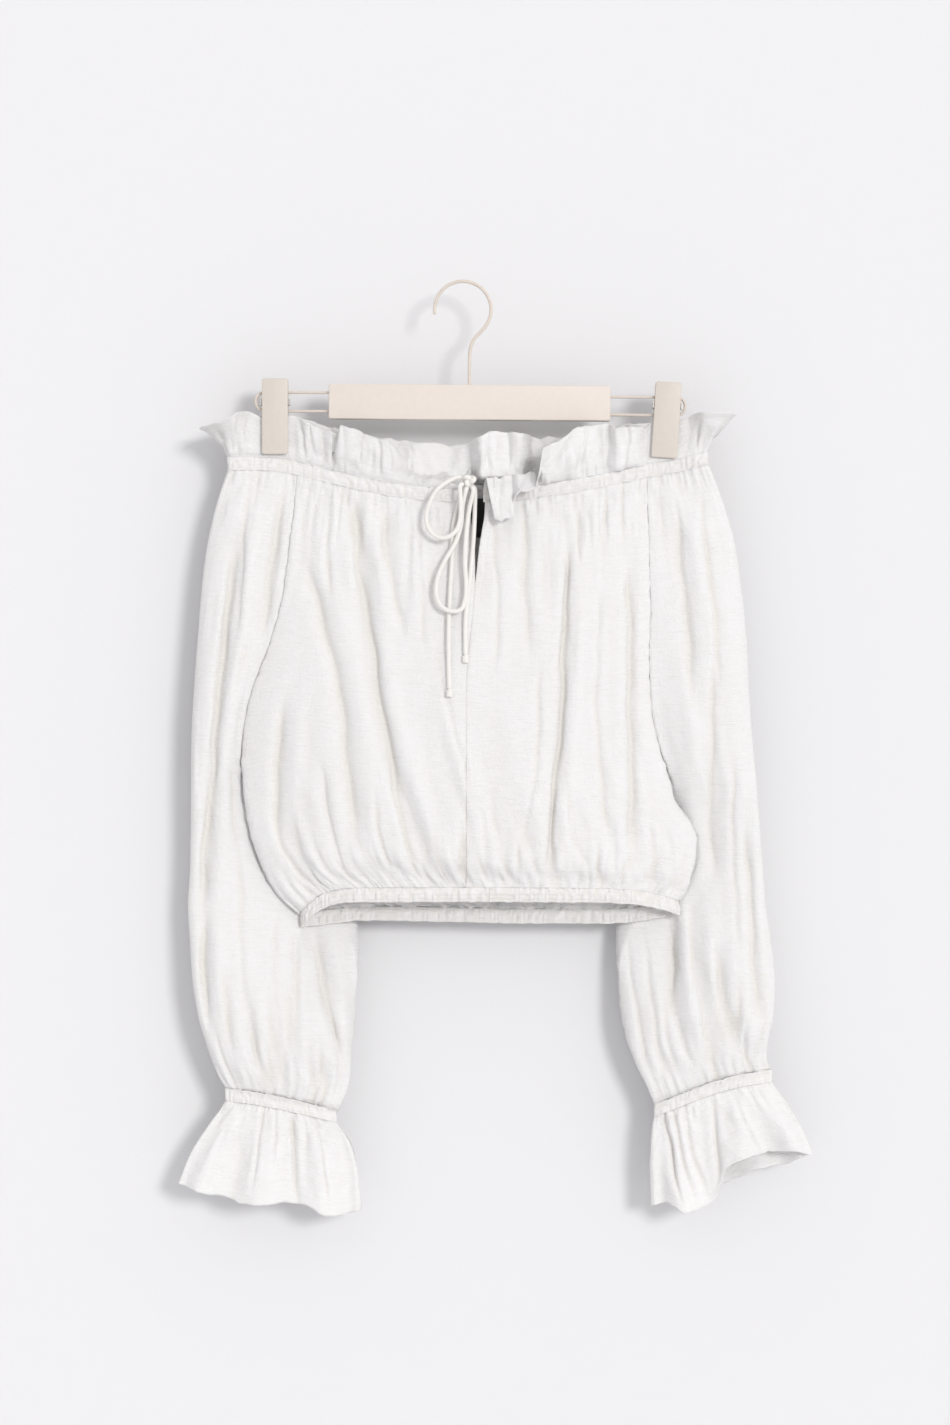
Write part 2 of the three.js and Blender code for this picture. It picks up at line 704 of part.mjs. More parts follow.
// Each sleeve is two solids that meet across the underarm: its head and its tube
const HEAD_ROWS = [
  ...BODY_ROWS.filter((v) => v < UNDERARM && v !== 0.04).map((v) => v / UNDERARM), 1 - 0.0006,
];
const TUBE_ROWS = [1.001, 1.05, 1.12, 1.2, 1.3, 1.4, 1.52, 1.63, 1.75, 1.84, 1.91, 1.96, 2];
for (const which of ["left", "right"]) {
  const left = which === "left";
  const turns = spread(27);
  const order = left ? [...turns].reverse() : turns;
  const at = (turn, t) => sleevePoint(which, t, turn);
  const hold = (p, turn, t) => {
    if (turn > 0.0001 && turn < 0.9999) return;
    if (t <= 1) {
      const seam = read(EDGES, which + "_x", t * UNDERARM);
      p.x = left ? Math.min(p.x, seam - SEAM / 2) : Math.max(p.x, seam + SEAM / 2);
    }
    if (t >= 1) {
      const drop = t - 1;
      const middle = read(left ? SLEEVE_LEFT : SLEEVE_RIGHT, "inner_y", drop);
      p.y = turn < 0.5 ? Math.min(p.y, middle - SEAM / 2) : Math.max(p.y, middle + SEAM / 2);
    }
  };
  wall("sleeve_" + which + "_head", cloth, order, HEAD_ROWS, at, { hold });
  wall("sleeve_" + which, cloth, order, TUBE_ROWS, at, { hold });
}

// Casings: bands with fine pleats, a little thicker in the middle of their height
function band(name, ring, height, pleats, closed) {
  const us = closed ? spread(pleats * 2 + 1).slice(0, -1) : spread(pleats * 2 + 1);
  const at = (u, v) => {
    const { p, out } = ring(u);
    const ripple = 0.35 * Math.cos(2 * Math.PI * pleats * u);
    const swell = 0.5 * Math.sin(Math.PI * v);
    p.addScaledVector(out, ripple + swell);
    p.z += height * (0.5 - v);
    return p;
  };
  wall(name, casingCloth, us, [0, 0.5, 1], at, { thick: CASING_WALL, ring: closed });
}
band("neck_casing", neckRing, NECK_BAND, NECK_PLEATS, false);
band("hem_casing", hemRing, HEM_BAND, HEM_PLEATS, true);

// Neck ruffle: one strip round the neck, open at the keyhole, standing on the casing
function rufflePoint(u, v) {
  const { p, out, s } = neckRing(u);
  const front = s < neckTurns.right || s > neckTurns.left;
  const rows = front ? RUFFLE_FRONT : RUFFLE_BACK;
  const x = s > neckTurns.left && p.x > 0 ? Math.min(p.x, 4.6) : Math.max(p.x, s < 60 ? 12 : -999);
  const height = read(rows, "height", x);
  const lean = THREE.MathUtils.degToRad(read(rows, "lean", x));
  const upright = Math.min(Math.abs(p.x + 150.2), Math.abs(p.x - 162.4));
  const free = ramp(upright, 13, 30);
  const length = height * v;
  let outward = 0;
  let up = NECK_BAND / 2 + 2 * SEAM;
  const steps = 12;
  for (let i = 0; i < steps; i += 1) {
    const along = (length * (i + 0.5)) / steps;
    const angle = lean * ramp(along, -2, 13);
    outward += (Math.sin(angle) * length) / steps;
    up += (Math.cos(angle) * length) / steps;
  }
  const phase = 2 * Math.PI * RUFFLE_WAVES * u + 1.1 * Math.sin(2 * Math.PI * 5 * u);
  const tall = Math.cos(lean * 0.7);
  const wave = 2.3 * Math.sin(phase) * v ** 0.8 * free * clamp(tall, 0.3, 1);
  const narrow = ramp(v, 0, 1) * (1 - free) * (Math.abs(p.y) - 1.15);
  const inward = p.y < 0 ? narrow : -narrow;
  p.addScaledVector(out, outward * free + wave);
  p.y += inward;
  p.z += up - Math.abs(Math.sin(phase)) * 0.8 * v * free;
  return p;
}
// Lengths along the neck ring at which it turns round its two ends
const neckTurns = (() => {
  const found = { right: 0, left: 0 };
  let most = -Infinity;
  let least = Infinity;
  for (let i = 0; i <= 2000; i += 1) {
    const { p, s } = neckRing(i / 2000);
    if (p.x > most) {
      most = p.x;
      found.right = s;
    }
    if (p.x < least) {
      least = p.x;
      found.left = s;
    }
  }
  return found;
})();
const ruffleShares = [...spread(13, 0, 0.1), ...spread(76, 0.1, 1).slice(1)];
wall("neck_ruffle", cloth, ruffleShares, [0, 0.3, 0.64, 1], rufflePoint, { thick: 1.1, flatLow: false });

// Cuffs: an elastic casing round each wrist and the frill below it, in one cloth
function cuffRing(table_, which, drop, share, extra) {
  const across = Math.sin(Math.PI * share) ** 2;
  const sign = share < 0.5 ? -1 : 1;
  const x = mix(read(table_, "inner_x", drop), read(table_, "outer_x", drop), across);
  let z = mix(read(table_, "inner_z", drop), read(table_, "outer_z", drop), across);
  z += wristRise(which, across) * (1 - drop);
  const half = read(table_, "half", drop) + extra;
  const y = mix(3, 0, across) + sign * half * Math.abs(Math.sin(2 * Math.PI * share));
  return new THREE.Vector3(x, y, z);
}
const CUFF_ROWS = [-1, -0.5, 0, 0.2, 0.45, 0.72, 1];
for (const which of ["left", "right"]) {
  const left = which === "left";
  const rows = left ? CUFF_LEFT : CUFF_RIGHT;
  const along = left ? 1 : -1;
  const at = (share, v) => {
    const u = share - Math.floor(share);
    if (v < 0) {
      const p = cuffRing(rows, which, 0, u, 0.2 + 0.3 * Math.cos(2 * Math.PI * WRIST_PLEATS * u));
      p.z += 2 * SEAM - (WRIST_BAND - 2 * SEAM) * v;
      p.x += along * 0.4 * v;
      return p;
    }
    const swell = 4.2 * v * Math.sin(2 * Math.PI * CUFF_WAVES * u + 0.7);
    const p = cuffRing(rows, which, v, u, 0);
    const across = Math.sin(Math.PI * u) ** 2;
    const flat = Math.abs(Math.sin(2 * Math.PI * u));
    p.y += (u < 0.5 ? -1 : 1) * swell * ramp(flat, 0.1, 0.6);
    const side = u < 0.5 ? "_front" : "_back";
    p.z += read(CUFF_EDGES, which + side, 1 - across) * v ** 2;
    return p;
  };
  const shares = spread(2 * WRIST_PLEATS + 1).slice(0, -1);
  const order = left ? [...shares].reverse() : shares;
  wall("cuff_" + which, cloth, order, CUFF_ROWS, at, { ring: true, flatLow: false });
}

// Round cords along smooth curves
function cord(name, points, steps, width = CORD_D, material = cordCloth, sides = 8) {
  const outline = new THREE.Shape();
  const r = width / 2;
  for (let i = 0; i < sides; i += 1) {
    const a = (2 * Math.PI * i) / sides;
    if (i === 0) outline.moveTo(r, 0);
    else outline.lineTo(r * Math.cos(a), r * Math.sin(a));
  }
  outline.closePath();
  const path = new THREE.CatmullRomCurve3(points, false, "centripetal");
  const geometry = new THREE.ExtrudeGeometry(outline, { steps, extrudePath: path, bevelEnabled: false });
  return add(name, geometry, material);
}

// Drawstring: two bows, two tails and their knots, lying on the front
const LAYER = CORD_D + 0.5;
const onFront = (rows) =>
  rows.map((r) => {
    const z = Math.min(r.z, -172);
    return new THREE.Vector3(r.x, bodyY("front", r.x, z) - CORD_LIFT - r.layer * LAYER, r.z);
  });
const KNOT = { x: 5, y: -21.8, z: -159.5, rx: 6.4, ry: 6, rz: 5.6 };

// A place just off the knot in one direction, where a strand leaves it
function port(dx, dy, dz, away = 0.85) {
  const d = new THREE.Vector3(dx, dy, dz).normalize();
  const reach = 1 / Math.hypot(d.x / KNOT.rx, d.y / KNOT.ry, d.z / KNOT.rz);
  return new THREE.Vector3(KNOT.x, KNOT.y, KNOT.z).addScaledVector(d, reach + away);
}
const leave = (dx, dy, dz) => [port(dx, dy, dz), port(dx, dy, dz, 3)];
const STRING_COLUMNS = ["x", "z", "layer"];
const tailLeft = leave(-0.4, 0.5, -0.76).concat(onFront(table(STRING_COLUMNS, [
  [-4, -180, 0.15],
  [-7.6, -196, 0.1],
  [-8.4, -216, 0],
  [-9.6, -240, 0],
  [-11, -270, 0],
  [-11.2, -300, 0],
  [-10.6, -324, 0],
])));
const tailRight = leave(0.5, 0.5, -0.74).concat(onFront(table(STRING_COLUMNS, [
  [9.4, -182, 0.1],
  [8.4, -205, 0],
  [6, -232, 0],
  [3.2, -256, 0],
  [2, -272, 0],
  [2, -297, 0],
])));
const bowLow = [...leave(-0.3, -0.3, -0.9), ...onFront(table(STRING_COLUMNS, [
  [-0.4, -180, 1.3],
  [-1.4, -194, 1.15],
  [-6, -209, 1.1],
  [-14, -223, 1.1],
  [-20, -237, 1.05],
  [-21, -250, 1.05],
  [-17.4, -259, 1.05],
  [-10, -263.4, 1.05],
  [-1.6, -262, 1.05],
  [1.8, -254, 1.05],
  [2.6, -244, 1.05],
  [1.6, -222, 1.05],
  [3.2, -196, 1.15],
  [5.4, -180, 1.3],
])), ...leave(0.38, -0.38, -0.84).reverse()];
const bowHigh = [...leave(-0.9, 0.05, 0.3), ...onFront(table(STRING_COLUMNS, [
  [-19.6, -166, 2.1],
  [-26.4, -177.6, 2.2],
  [-29, -188, 2.2],
  [-27, -198, 2.2],
  [-20, -204.6, 2.2],
  [-12.6, -204.8, 2.3],
  [-5.4, -199.4, 2.3],
  [-2.2, -190, 2.3],
  [-1.6, -178, 2.4],
])), ...leave(-0.8, -0.5, -0.45).reverse()];
cord("string_tail_left", tailLeft, 13);
cord("string_tail_right", tailRight, 11);
cord("string_bow_low", bowLow, 28);
cord("string_bow_high", bowHigh, 24);
function bead(name, x, y, z, rx, ry, rz, columns, rows) {
  const geometry = new THREE.SphereGeometry(1, columns, rows);
  geometry.scale(rx, rz, ry);
  geometry.rotateX(Math.PI / 2);
  geometry.translate(x, y, z);
  return add(name, geometry, cordCloth);
}
bead("string_knot", KNOT.x, KNOT.y, KNOT.z, KNOT.rx, KNOT.ry, KNOT.rz, 12, 8);
const endBead = (name, points) => {
  const end = points[points.length - 1];
  const low = end.z - 4.5;
  bead(name, end.x, bodyY("front", end.x, low) - 4.1, low, 2.9, 2.9, 4, 10, 6);
};
endBead("string_end_left", tailLeft);
endBead("string_end_right", tailRight);

// A box with rounded corners seen from the front, its depth along Y
function plate(width, height, depth, corner, bevel) {
  const x = width / 2 - bevel;
  const z = height / 2 - bevel;
  const r = corner;
  const shape = new THREE.Shape();
  shape.moveTo(-x + r, -z);
  shape.lineTo(x - r, -z);
  shape.absarc(x - r, -z + r, r, -Math.PI / 2, 0, false);
  shape.lineTo(x, z - r);
  shape.absarc(x - r, z - r, r, 0, Math.PI / 2, false);
  shape.lineTo(-x + r, z);
  shape.absarc(-x + r, z - r, r, Math.PI / 2, Math.PI, false);
  shape.lineTo(-x, -z + r);
  shape.absarc(-x + r, -z + r, r, Math.PI, 1.5 * Math.PI, false);
  const geometry = new THREE.ExtrudeGeometry(shape, {
    depth: depth - 2 * bevel,
    bevelEnabled: bevel > 0,
    bevelThickness: bevel,
    bevelSize: bevel,
    bevelSegments: 1,
    curveSegments: 2,
  });
  geometry.translate(0, 0, -(depth - 2 * bevel) / 2);
  geometry.rotateX(Math.PI / 2);
  return geometry;
}

// Label: a bare black strip inside the back of the neck
const labelGeometry = plate(28, 31, 1, 0.6, 0);
const labelZ = read(NECK, "back_z", 9) - NECK_BAND / 2 - SEAM - 17.5;
labelGeometry.rotateX(THREE.MathUtils.degToRad(-1));
labelGeometry.translate(9, bodyY("back", 9, labelZ) - WALL / 2 - 1.5, labelZ);
add("label", labelGeometry, labelCloth);

// Hanger: hook, bar, two wire arms and two clips
const tilt = new THREE.Matrix4().makeRotationY(THREE.MathUtils.degToRad(HANGER_TILT));
const hookCentre = { x: 0, z: -HOOK_R + HOOK_WIRE / 2 };
const hookPoints = [];
for (const angle of [190, 180, 160, 140, 120, 100, 90, 75, 55, 35, 15, -5, -25, -42]) {
  const a = THREE.MathUtils.degToRad(angle);
  hookPoints.push(
    new THREE.Vector3(hookCentre.x + HOOK_R * Math.cos(a), 0, hookCentre.z + HOOK_R * Math.sin(a)),
  );
}
const barTop = BAR.z + BAR.height / 2;
hookPoints.push(new THREE.Vector3(9.4, 0, -44.6));
hookPoints.push(new THREE.Vector3(6.4, 0, -52));
hookPoints.push(new THREE.Vector3(5.8, 0, -62));
hookPoints.push(new THREE.Vector3(5.8, 0, barTop + SEAM));
cord("hanger_hook", hookPoints, 28, HOOK_WIRE, painted).geometry.applyMatrix4(tilt);

const bar = plate(BAR.width, BAR.height, BAR.depth, 3, 1.2);
bar.translate(BAR.x, 0, BAR.z);
add("hanger_bar", bar, plastic).geometry.applyMatrix4(tilt);

// Each arm is one wire bent back on itself: out, round the end and back to the bar
const ARMS = table(
  ["side", "end", "top", "low"],
  [
    [-1, -165, -88.6, -103.6],
    [1, 178.6, -90.2, -104.6],
  ],
);
for (const arm of ARMS) {
  const start = BAR.x + (arm.side * BAR.width) / 2 + arm.side * SEAM;
  const r = (arm.top - arm.low) / 2;
  const middle = (arm.top + arm.low) / 2;
  const points = [
    new THREE.Vector3(start, 0, arm.top),
    new THREE.Vector3(mix(start, arm.end, 0.45), 0, arm.top),
    new THREE.Vector3(arm.end - arm.side * (r + 2), 0, arm.top),
  ];
  for (const angle of [60, 30, 0, -30, -60]) {
    const a = THREE.MathUtils.degToRad(angle);
    points.push(
      new THREE.Vector3(arm.end - arm.side * r * (1 - Math.cos(a)), 0, middle + r * Math.sin(a)),
    );
  }
  points.push(new THREE.Vector3(arm.end - arm.side * (r + 2), 0, arm.low));
  points.push(new THREE.Vector3(mix(start, arm.end, 0.45), 0, arm.low));
  points.push(new THREE.Vector3(start, 0, arm.low));
  const name = arm.side < 0 ? "hanger_arm_left" : "hanger_arm_right";
  cord(name, points, 18, ARM_WIRE, painted).geometry.applyMatrix4(tilt);
}

// Each clip has two flat jaws with finger ends and a sprung channel behind them
const CLIPS = table(
  ["side", "x", "z", "turn"],
  [
    [-1, -150.2, -106.9, 0],
    [1, 162.6, -109.8, 3.6],
  ],
);
for (const clip of CLIPS) {
  const side = clip.side < 0 ? "left" : "right";
  const place = new THREE.Matrix4()
    .makeTranslation(clip.x, 0, clip.z)
    .multiply(new THREE.Matrix4().makeRotationY(THREE.MathUtils.degToRad(clip.turn)));
  for (const face of [-1, 1]) {
    const jaw = plate(CLIP.width, CLIP.height, CLIP.jaw, 2.2, 0.6);
    jaw.translate(0, face * (CLIP.inner + CLIP.jaw / 2), 0);
    jaw.applyMatrix4(place);
    add("clip_" + side + (face < 0 ? "_front_jaw" : "_back_jaw"), jaw, clipPlastic);
  }
  const inner = CLIP.width / 2 + SEAM;
  const outer = inner + 1;
  const back = CLIP.inner + CLIP.jaw + SEAM;
  const reach = -CLIP.inner - CLIP.jaw + 0.6;
  const channel = new THREE.Shape();
  channel.moveTo(-outer, reach);
  channel.lineTo(-inner, reach);
  channel.lineTo(-inner, back);
  channel.lineTo(inner, back);
  channel.lineTo(inner, reach);
  channel.lineTo(outer, reach);
  channel.lineTo(outer, back + 1);
  channel.lineTo(-outer, back + 1);
  channel.closePath();
  const spring = new THREE.ExtrudeGeometry(channel, { depth: 5, bevelEnabled: false });
  spring.translate(0, 0, 9);
  spring.applyMatrix4(place);
  add("clip_" + side + "_spring", spring, steel);
}

export default part;
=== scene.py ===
import math

import bpy
import numpy as np
from mathutils import Matrix, Vector


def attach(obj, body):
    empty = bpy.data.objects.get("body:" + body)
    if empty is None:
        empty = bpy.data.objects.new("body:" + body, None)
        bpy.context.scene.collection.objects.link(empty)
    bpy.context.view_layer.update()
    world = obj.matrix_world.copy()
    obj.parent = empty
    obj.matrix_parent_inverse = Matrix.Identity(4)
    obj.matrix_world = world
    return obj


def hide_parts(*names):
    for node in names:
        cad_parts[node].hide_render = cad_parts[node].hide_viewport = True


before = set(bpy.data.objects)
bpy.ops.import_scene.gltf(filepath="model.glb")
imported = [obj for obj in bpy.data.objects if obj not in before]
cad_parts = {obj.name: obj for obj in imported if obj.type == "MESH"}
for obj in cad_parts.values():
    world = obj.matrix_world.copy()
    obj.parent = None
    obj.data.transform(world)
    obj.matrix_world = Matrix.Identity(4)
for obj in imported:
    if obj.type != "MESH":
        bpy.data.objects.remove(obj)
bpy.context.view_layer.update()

# Off-shoulder gauze top on a clip hanger, as it hangs
# Sizes in the tables and shapes are in millimetres, as in the solids; meshes are in metres
MM = 0.001

# Thickness of the cloth and of its folded casings, and the gap left at a seam
CLOTH = 0.5
CASING_CLOTH = 0.8
SEAM = 0.06
# Share of the way down the side where the underarm lies, and heights of the casings
UNDERARM = 0.6667
NECK_BAND = 9.6
HEM_BAND = 10.4
WRIST_BAND = 8

# Waves of the ruffles
RUFFLE_WAVES = 22
CUFF_WAVES = 8

# Drawstring's thickness and the middle of its knot
CORD_D = 3.6
KNOT = (5, -21.8, -159.5)

# Hanger
HOOK_R = 22.6
HOOK_WIRE = 2.8
BAR = {"x": 6, "z": -95.8, "width": 225, "height": 28, "depth": 11.4}
ARM_WIRE = 2.4
HANGER_TILT = 0.45
CLIP = {"width": 20.8, "height": 60.6, "jaw": 3.4, "inner": 2.5}
RIBS = {"count": 5, "first": 2.5, "pitch": 2.6}


def table(columns, rows):
    """Rows of a short table as one array per named column."""
    data = np.array(rows, float)
    found = {name: data[:, i] for i, name in enumerate(columns)}
    found["key"] = data[:, 0]
    return found


# Left and right edges of the front and back by their share of the way down the seam:
# armhole seams down to the underarm, side seams below it
EDGES = table(["v", "left_x", "left_z", "right_x", "right_z"], [
    [0, -132.8, -155.2, 147.2, -155.2], [0.08, -135.2, -183.2, 148, -184.8],
    [0.17, -138.8, -213.6, 148.8, -217.6], [0.28, -144, -252, 149.6, -258.4],
    [0.39, -154.4, -289.6, 148.8, -298.4], [0.5, -168.8, -328, 150.4, -338.8],
    [0.59, -175.6, -359.2, 157.6, -372], [UNDERARM, -177.6, -385.6, 166.4, -400],
    [0.7, -176.4, -397.6, 168.6, -411.2], [0.75, -174.8, -416, 180, -427.2],
    [0.8, -171.6, -434.4, 187.5, -444], [0.85, -166.4, -452.8, 187, -459.2],
    [0.9, -159.2, -471.2, 183.2, -473.6], [0.95, -148.8, -488, 180, -484],
    [1, -132, -503.2, 173.6, -493.6],
])

# How far the front and back stand from the seam plane, by the same share
DEPTHS = table(["v", "front_seam", "front_belly", "back_seam", "back_belly", "sleeve"], [
    [0, -3, 9, 3, 5, 4], [0.08, -6, 11, 5, 6, 9], [0.17, -8.5, 13, 7, 6, 11.5],
    [0.28, -9.5, 16, 8, 6, 13.5], [0.39, -9, 19, 7.5, 7, 14], [0.5, -6, 23, 5.5, 8, 13.5],
    [0.59, -3, 26, 3, 9, 12], [UNDERARM, -0.75, 29, 0.75, 10, 10], [0.8, -0.75, 31, 0.75, 11, 10],
    [0.92, -0.75, 32, 0.75, 11, 10], [1, -0.75, 24, 0.75, 9, 10],
])

# Centre-front line and the half width of its keyhole slit
CENTRE = table(["z", "x", "half"], [
    [-510, 2.4, SEAM / 2], [-330, 2.6, SEAM / 2], [-246, 9.4, SEAM / 2], [-232, 10.2, 0.7],
    [-214, 11, 1.9], [-198, 11.4, 4], [-186, 11.7, 5.6], [-160, 12, 6.6],
])

# Centre line of the neck casing: height at front and back, depth at front and back
NECK = table(["x", "front_z", "front_y", "back_z", "back_y"], [
    [-188, -145, -3.2, -145, 3.2], [-172, -144.4, -3.4, -144.2, 3.4], [-162, -144.6, -1.4, -144.4, 1.4],
    [-138, -147, -1.4, -146.2, 1.4], [-128, -149.6, -3.2, -148.4, 3], [-98, -157.4, -7, -155, 5.6],
    [-50, -166.8, -11.5, -162.8, 8.5], [-10, -170.4, -13, -165.4, 9.4], [30, -170, -13, -165, 9.4],
    [78, -164.4, -11.5, -160.8, 8.5], [118, -157, -7.5, -155, 6], [138, -152.4, -4.2, -151.2, 3.8],
    [150, -149.8, -1.4, -149.2, 1.4], [175, -145.6, -1.4, -145.2, 1.4], [186, -142.6, -3.4, -142.4, 3.4],
    [196, -139.6, -3.2, -139.6, 3.2],
])
NECK_ENDS = {"left": -188, "right": 196, "round": 5}
SLIT_EDGES = {"left": 4.6, "right": 16.2}

# Centre line of the hem casing
HEM = table(["x", "front_z", "front_y", "back_z", "back_y"], [
    [-129.6, -508.4, -5, -509.6, 5], [-120.8, -500.4, -9, -508.6, 7], [-110.4, -493.4, -12, -507.4, 8],
    [-98.4, -489.8, -15, -506, 8.5], [-82.4, -488.6, -18, -504.6, 9], [-30, -488.2, -22, -505.2, 9.5],
    [60, -488.4, -22, -507, 9.5], [109.6, -489, -19, -507, 9], [141.6, -491.2, -14, -505, 8],
    [161.6, -496, -8, -501.6, 7], [172.4, -499.6, -5, -500, 5],
])
HEM_ENDS = {"left": -129.6, "right": 172.4, "round": 7}

# Height and lean of the neck ruffle, in degrees from upright, forward for the front
RUFFLE_FRONT = table(["x", "height", "lean"], [
    [-188, 33, 50], [-183, 38, 38], [-176, 39, 20], [-166, 35, 0], [-158, 31, 0], [-150, 32.5, 0],
    [-142, 35, 0], [-132, 36.5, 3], [-120, 33, 16], [-104, 31, 12], [-100, 31.5, 10], [-96, 38, 6],
    [-78, 38, 6], [-72, 36, -2], [-60, 35, -8], [-50, 33, -38], [-40, 31, -68], [-15, 30, -74],
    [0, 29, -70], [4.6, 27, -56], [12, 45, 172], [34, 45, 170], [38, 42, 166], [42, 33, 156],
    [46, 30, 152], [56, 30, 146], [60, 33, 96], [64, 37, 34], [76, 39, 10], [94, 41, 6], [112, 41, 2],
    [138, 37, 0], [152, 33.5, 0], [162, 32.5, 0], [172, 31, 0], [180, 32, 6], [188, 36, 26],
    [196, 38, 44],
])
# How the front of the ruffle leaves its casing, in degrees, how far it then stands out,
# and after what length it turns over
RUFFLE_SHAPE = table(["x", "base", "bulge", "start"], [
    [-188, 0, 0, -2], [-104, 0, 0, -2], [-101, 0, -2.5, -2], [-96.5, 0, 4.5, -2], [-80, 0, 4, -2],
    [-74, 0, -1.5, -2], [-66, 0, 0, -2], [-10, 0, 0, -2], [4.6, 0, 0, -2], [12, 0, 1, 5],
    [36, 0, 1.5, 5], [40, 0, -4, 5], [44, 25, 2.5, 7], [56, 25, 2.5, 7], [59, 0, -3, 3],
    [63, 60, 3.5, -2], [72, 95, 5, -2], [86, 60, 3.5, -2], [94, 15, 0, -2], [112, 0, 0, -2],
    [116, 20, -2, -2], [121, 85, 3, -2], [146, 85, 2, -2], [152, 0, 0, -2], [196, 0, 0, -2],
])
RUFFLE_BACK = table(["x", "height", "lean"], [
    [-188, 33, 50], [-178, 36, 24], [-166, 33, 0], [-150, 32, 0], [-136, 34, 0], [-110, 35, 8],
    [-50, 33, 12], [2, 33, 8], [12, 37, 4], [22, 41, 2], [40, 41, 2], [48, 39, 4], [58, 35, 8],
    [80, 33, 12], [130, 35, 6], [148, 33, 0], [162, 32, 0], [174, 31, 0], [181, 32, 6], [188, 36, 26],
    [196, 38, 44],
])

# Outer outline of the upper sleeves by the share of the way down the armhole
SLEEVE_TOPS = table(["v", "left_x", "right_x"], [
    [0, -188, 196], [0.08, -197.5, 208], [0.17, -204.6, 217.4], [0.28, -209.6, 223.6],
    [0.39, -212.6, 227.4], [0.5, -215.4, 229.4], [0.59, -217, 232], [UNDERARM, -217.6, 235.2],
])

# Tube of each sleeve from the underarm to the wrist: both edges, their depth and half depth
TUBE_COLUMNS = ["drop", "outer_x", "outer_z", "inner_x", "inner_z", "outer_y", "inner_y", "half"]
SLEEVE_LEFT = table(TUBE_COLUMNS, [
    [0, -217.6, -385.6, -177.9, -385.6, 3, 0.6, 10], [0.05, -217.6, -394, -180, -394, 3, 6, 10],
    [0.12, -217.6, -406, -174, -406, 3.5, 14, 10], [0.2, -217.7, -421, -157, -421, 3.5, 20, 10.5],
    [0.3, -218, -441, -132, -441, 4, 24, 11.5], [0.4, -218.4, -468, -106, -468, 4, 26, 12],
    [0.52, -220, -498, -90, -498, 4, 26, 12.5], [0.63, -218.4, -526, -84, -526, 3, 22, 14],
    [0.75, -216.5, -555, -84.5, -555, 1.5, 15, 15], [0.84, -212, -585, -86.5, -585, 0.5, 11, 15],
    [0.91, -204, -612, -89, -614, 0, 8, 13], [0.96, -196, -633, -90.5, -638, 0, 5.5, 9.5],
    [1, -188.5, -645.2, -100.8, -662.8, 0, 3, 5.5],
])
SLEEVE_RIGHT = table(TUBE_COLUMNS, [
    [0, 235.2, -400, 166.7, -400, 3, 0.6, 10], [0.05, 235.6, -408, 169.8, -408, 3, 7, 10],
    [0.12, 236.4, -420, 168, -420, 3.5, 15, 10], [0.2, 237.6, -436, 159, -436, 3.5, 21, 10.5],
    [0.3, 239, -454, 146, -454, 4, 24, 11.5], [0.4, 240.5, -474, 134, -474, 4, 26, 12],
    [0.52, 242.5, -500, 125, -500, 4, 26, 12.5], [0.63, 246.4, -526, 123.2, -526, 3, 22, 14],
    [0.75, 250, -560, 124.5, -558, 1.5, 15, 15], [0.84, 249, -584, 127, -585, 0.5, 11, 15],
    [0.91, 245, -603, 132, -608, 0, 8, 12.5], [0.96, 243, -618, 143, -634, 0, 5.5, 9],
    [1, 245.6, -630.4, 153.6, -658.2, 0, 3, 5.5],
])

# Cuff ruffles below the wrist casings
CUFF_COLUMNS = ["drop", "outer_x", "outer_z", "inner_x", "inner_z", "half"]
CUFF_LEFT = table(CUFF_COLUMNS, [
    [0, -189.6, -654, -101.6, -671.6, 5.5], [0.33, -204.8, -676, -90.4, -688, 8],
    [0.66, -218.4, -697, -84, -711, 10.5], [1, -228, -720.8, -81.6, -741.6, 12],
])
CUFF_RIGHT = table(CUFF_COLUMNS, [
    [0, 246.6, -639.2, 153.2, -667, 5.5], [0.33, 260, -658, 150.4, -689.6, 8],
    [0.66, 271.2, -676, 149.6, -713.6, 10.5], [1, 279.2, -696.8, 150.4, -738.4, 12],
])

# How far the cuffs' lower edges lie above the straight line between their ends
CUFF_EDGES = table(["share", "left_front", "left_back", "right_front", "right_back"], [
    [0, 0, 0, 0, 0], [0.06, -1.5, -1, 4, -1], [0.14, -3, 1, 8.8, -3], [0.23, -4, 2, 12, -1],
    [0.34, -7, 3, 15, 0], [0.45, -6, 2, 15, -2], [0.54, -3, 1, 12, -3], [0.62, -1, 0, -12, -4],
    [0.7, -1, 2, -14.5, -5], [0.79, -7, 3, -13.6, -6], [0.9, -6, 1, -2, -3], [1, 0, 0, 0, 0],
])

# Main folds of the body: three points down each one, its half width, depth and raised side
FOLD_COLUMNS = ["x_top", "z_top", "x_mid", "z_mid", "x_low", "z_low", "width", "depth", "lip"]
BODY_FOLDS = table(FOLD_COLUMNS, [
    [-86, -170, -70, -326, -26, -478, 7, 5.5, 1], [-64, -174, -56, -230, -48, -286, 6, 2.4, -1],
    [-126, -222, -100, -318, -85, -438, 8, 4, 1], [-142, -334, -148, -414, -118, -488, 7, 4, 1],
    [-113, -382, -106, -430, -90, -478, 6, 4, -1], [84, -206, 79, -334, 66, -474, 5.5, 5.5, 1],
    [47, -174, 50, -237, 52, -302, 7, 2, 1], [132, -222, 133.6, -334, 135, -463, 6, 4.5, -1],
    [-18, -334, -2, -382, 12, -434, 8, -2.5, 0], [-1, -426, 1, -455, 6, -484, 6, 2.5, -1],
    [23, -406, 30, -442, 39, -478, 6, 2.5, 1], [84, -398, 90, -435, 101, -470, 6, 3, 1],
])
BACK_FOLDS = table(FOLD_COLUMNS, [
    [-90, -176, -84, -320, -58, -486, 9, -4, 1], [-30, -170, -24, -330, -10, -490, 9, -3, -1],
    [60, -172, 66, -330, 58, -488, 9, -4, 1], [118, -190, 122, -330, 112, -480, 9, -3, -1],
])
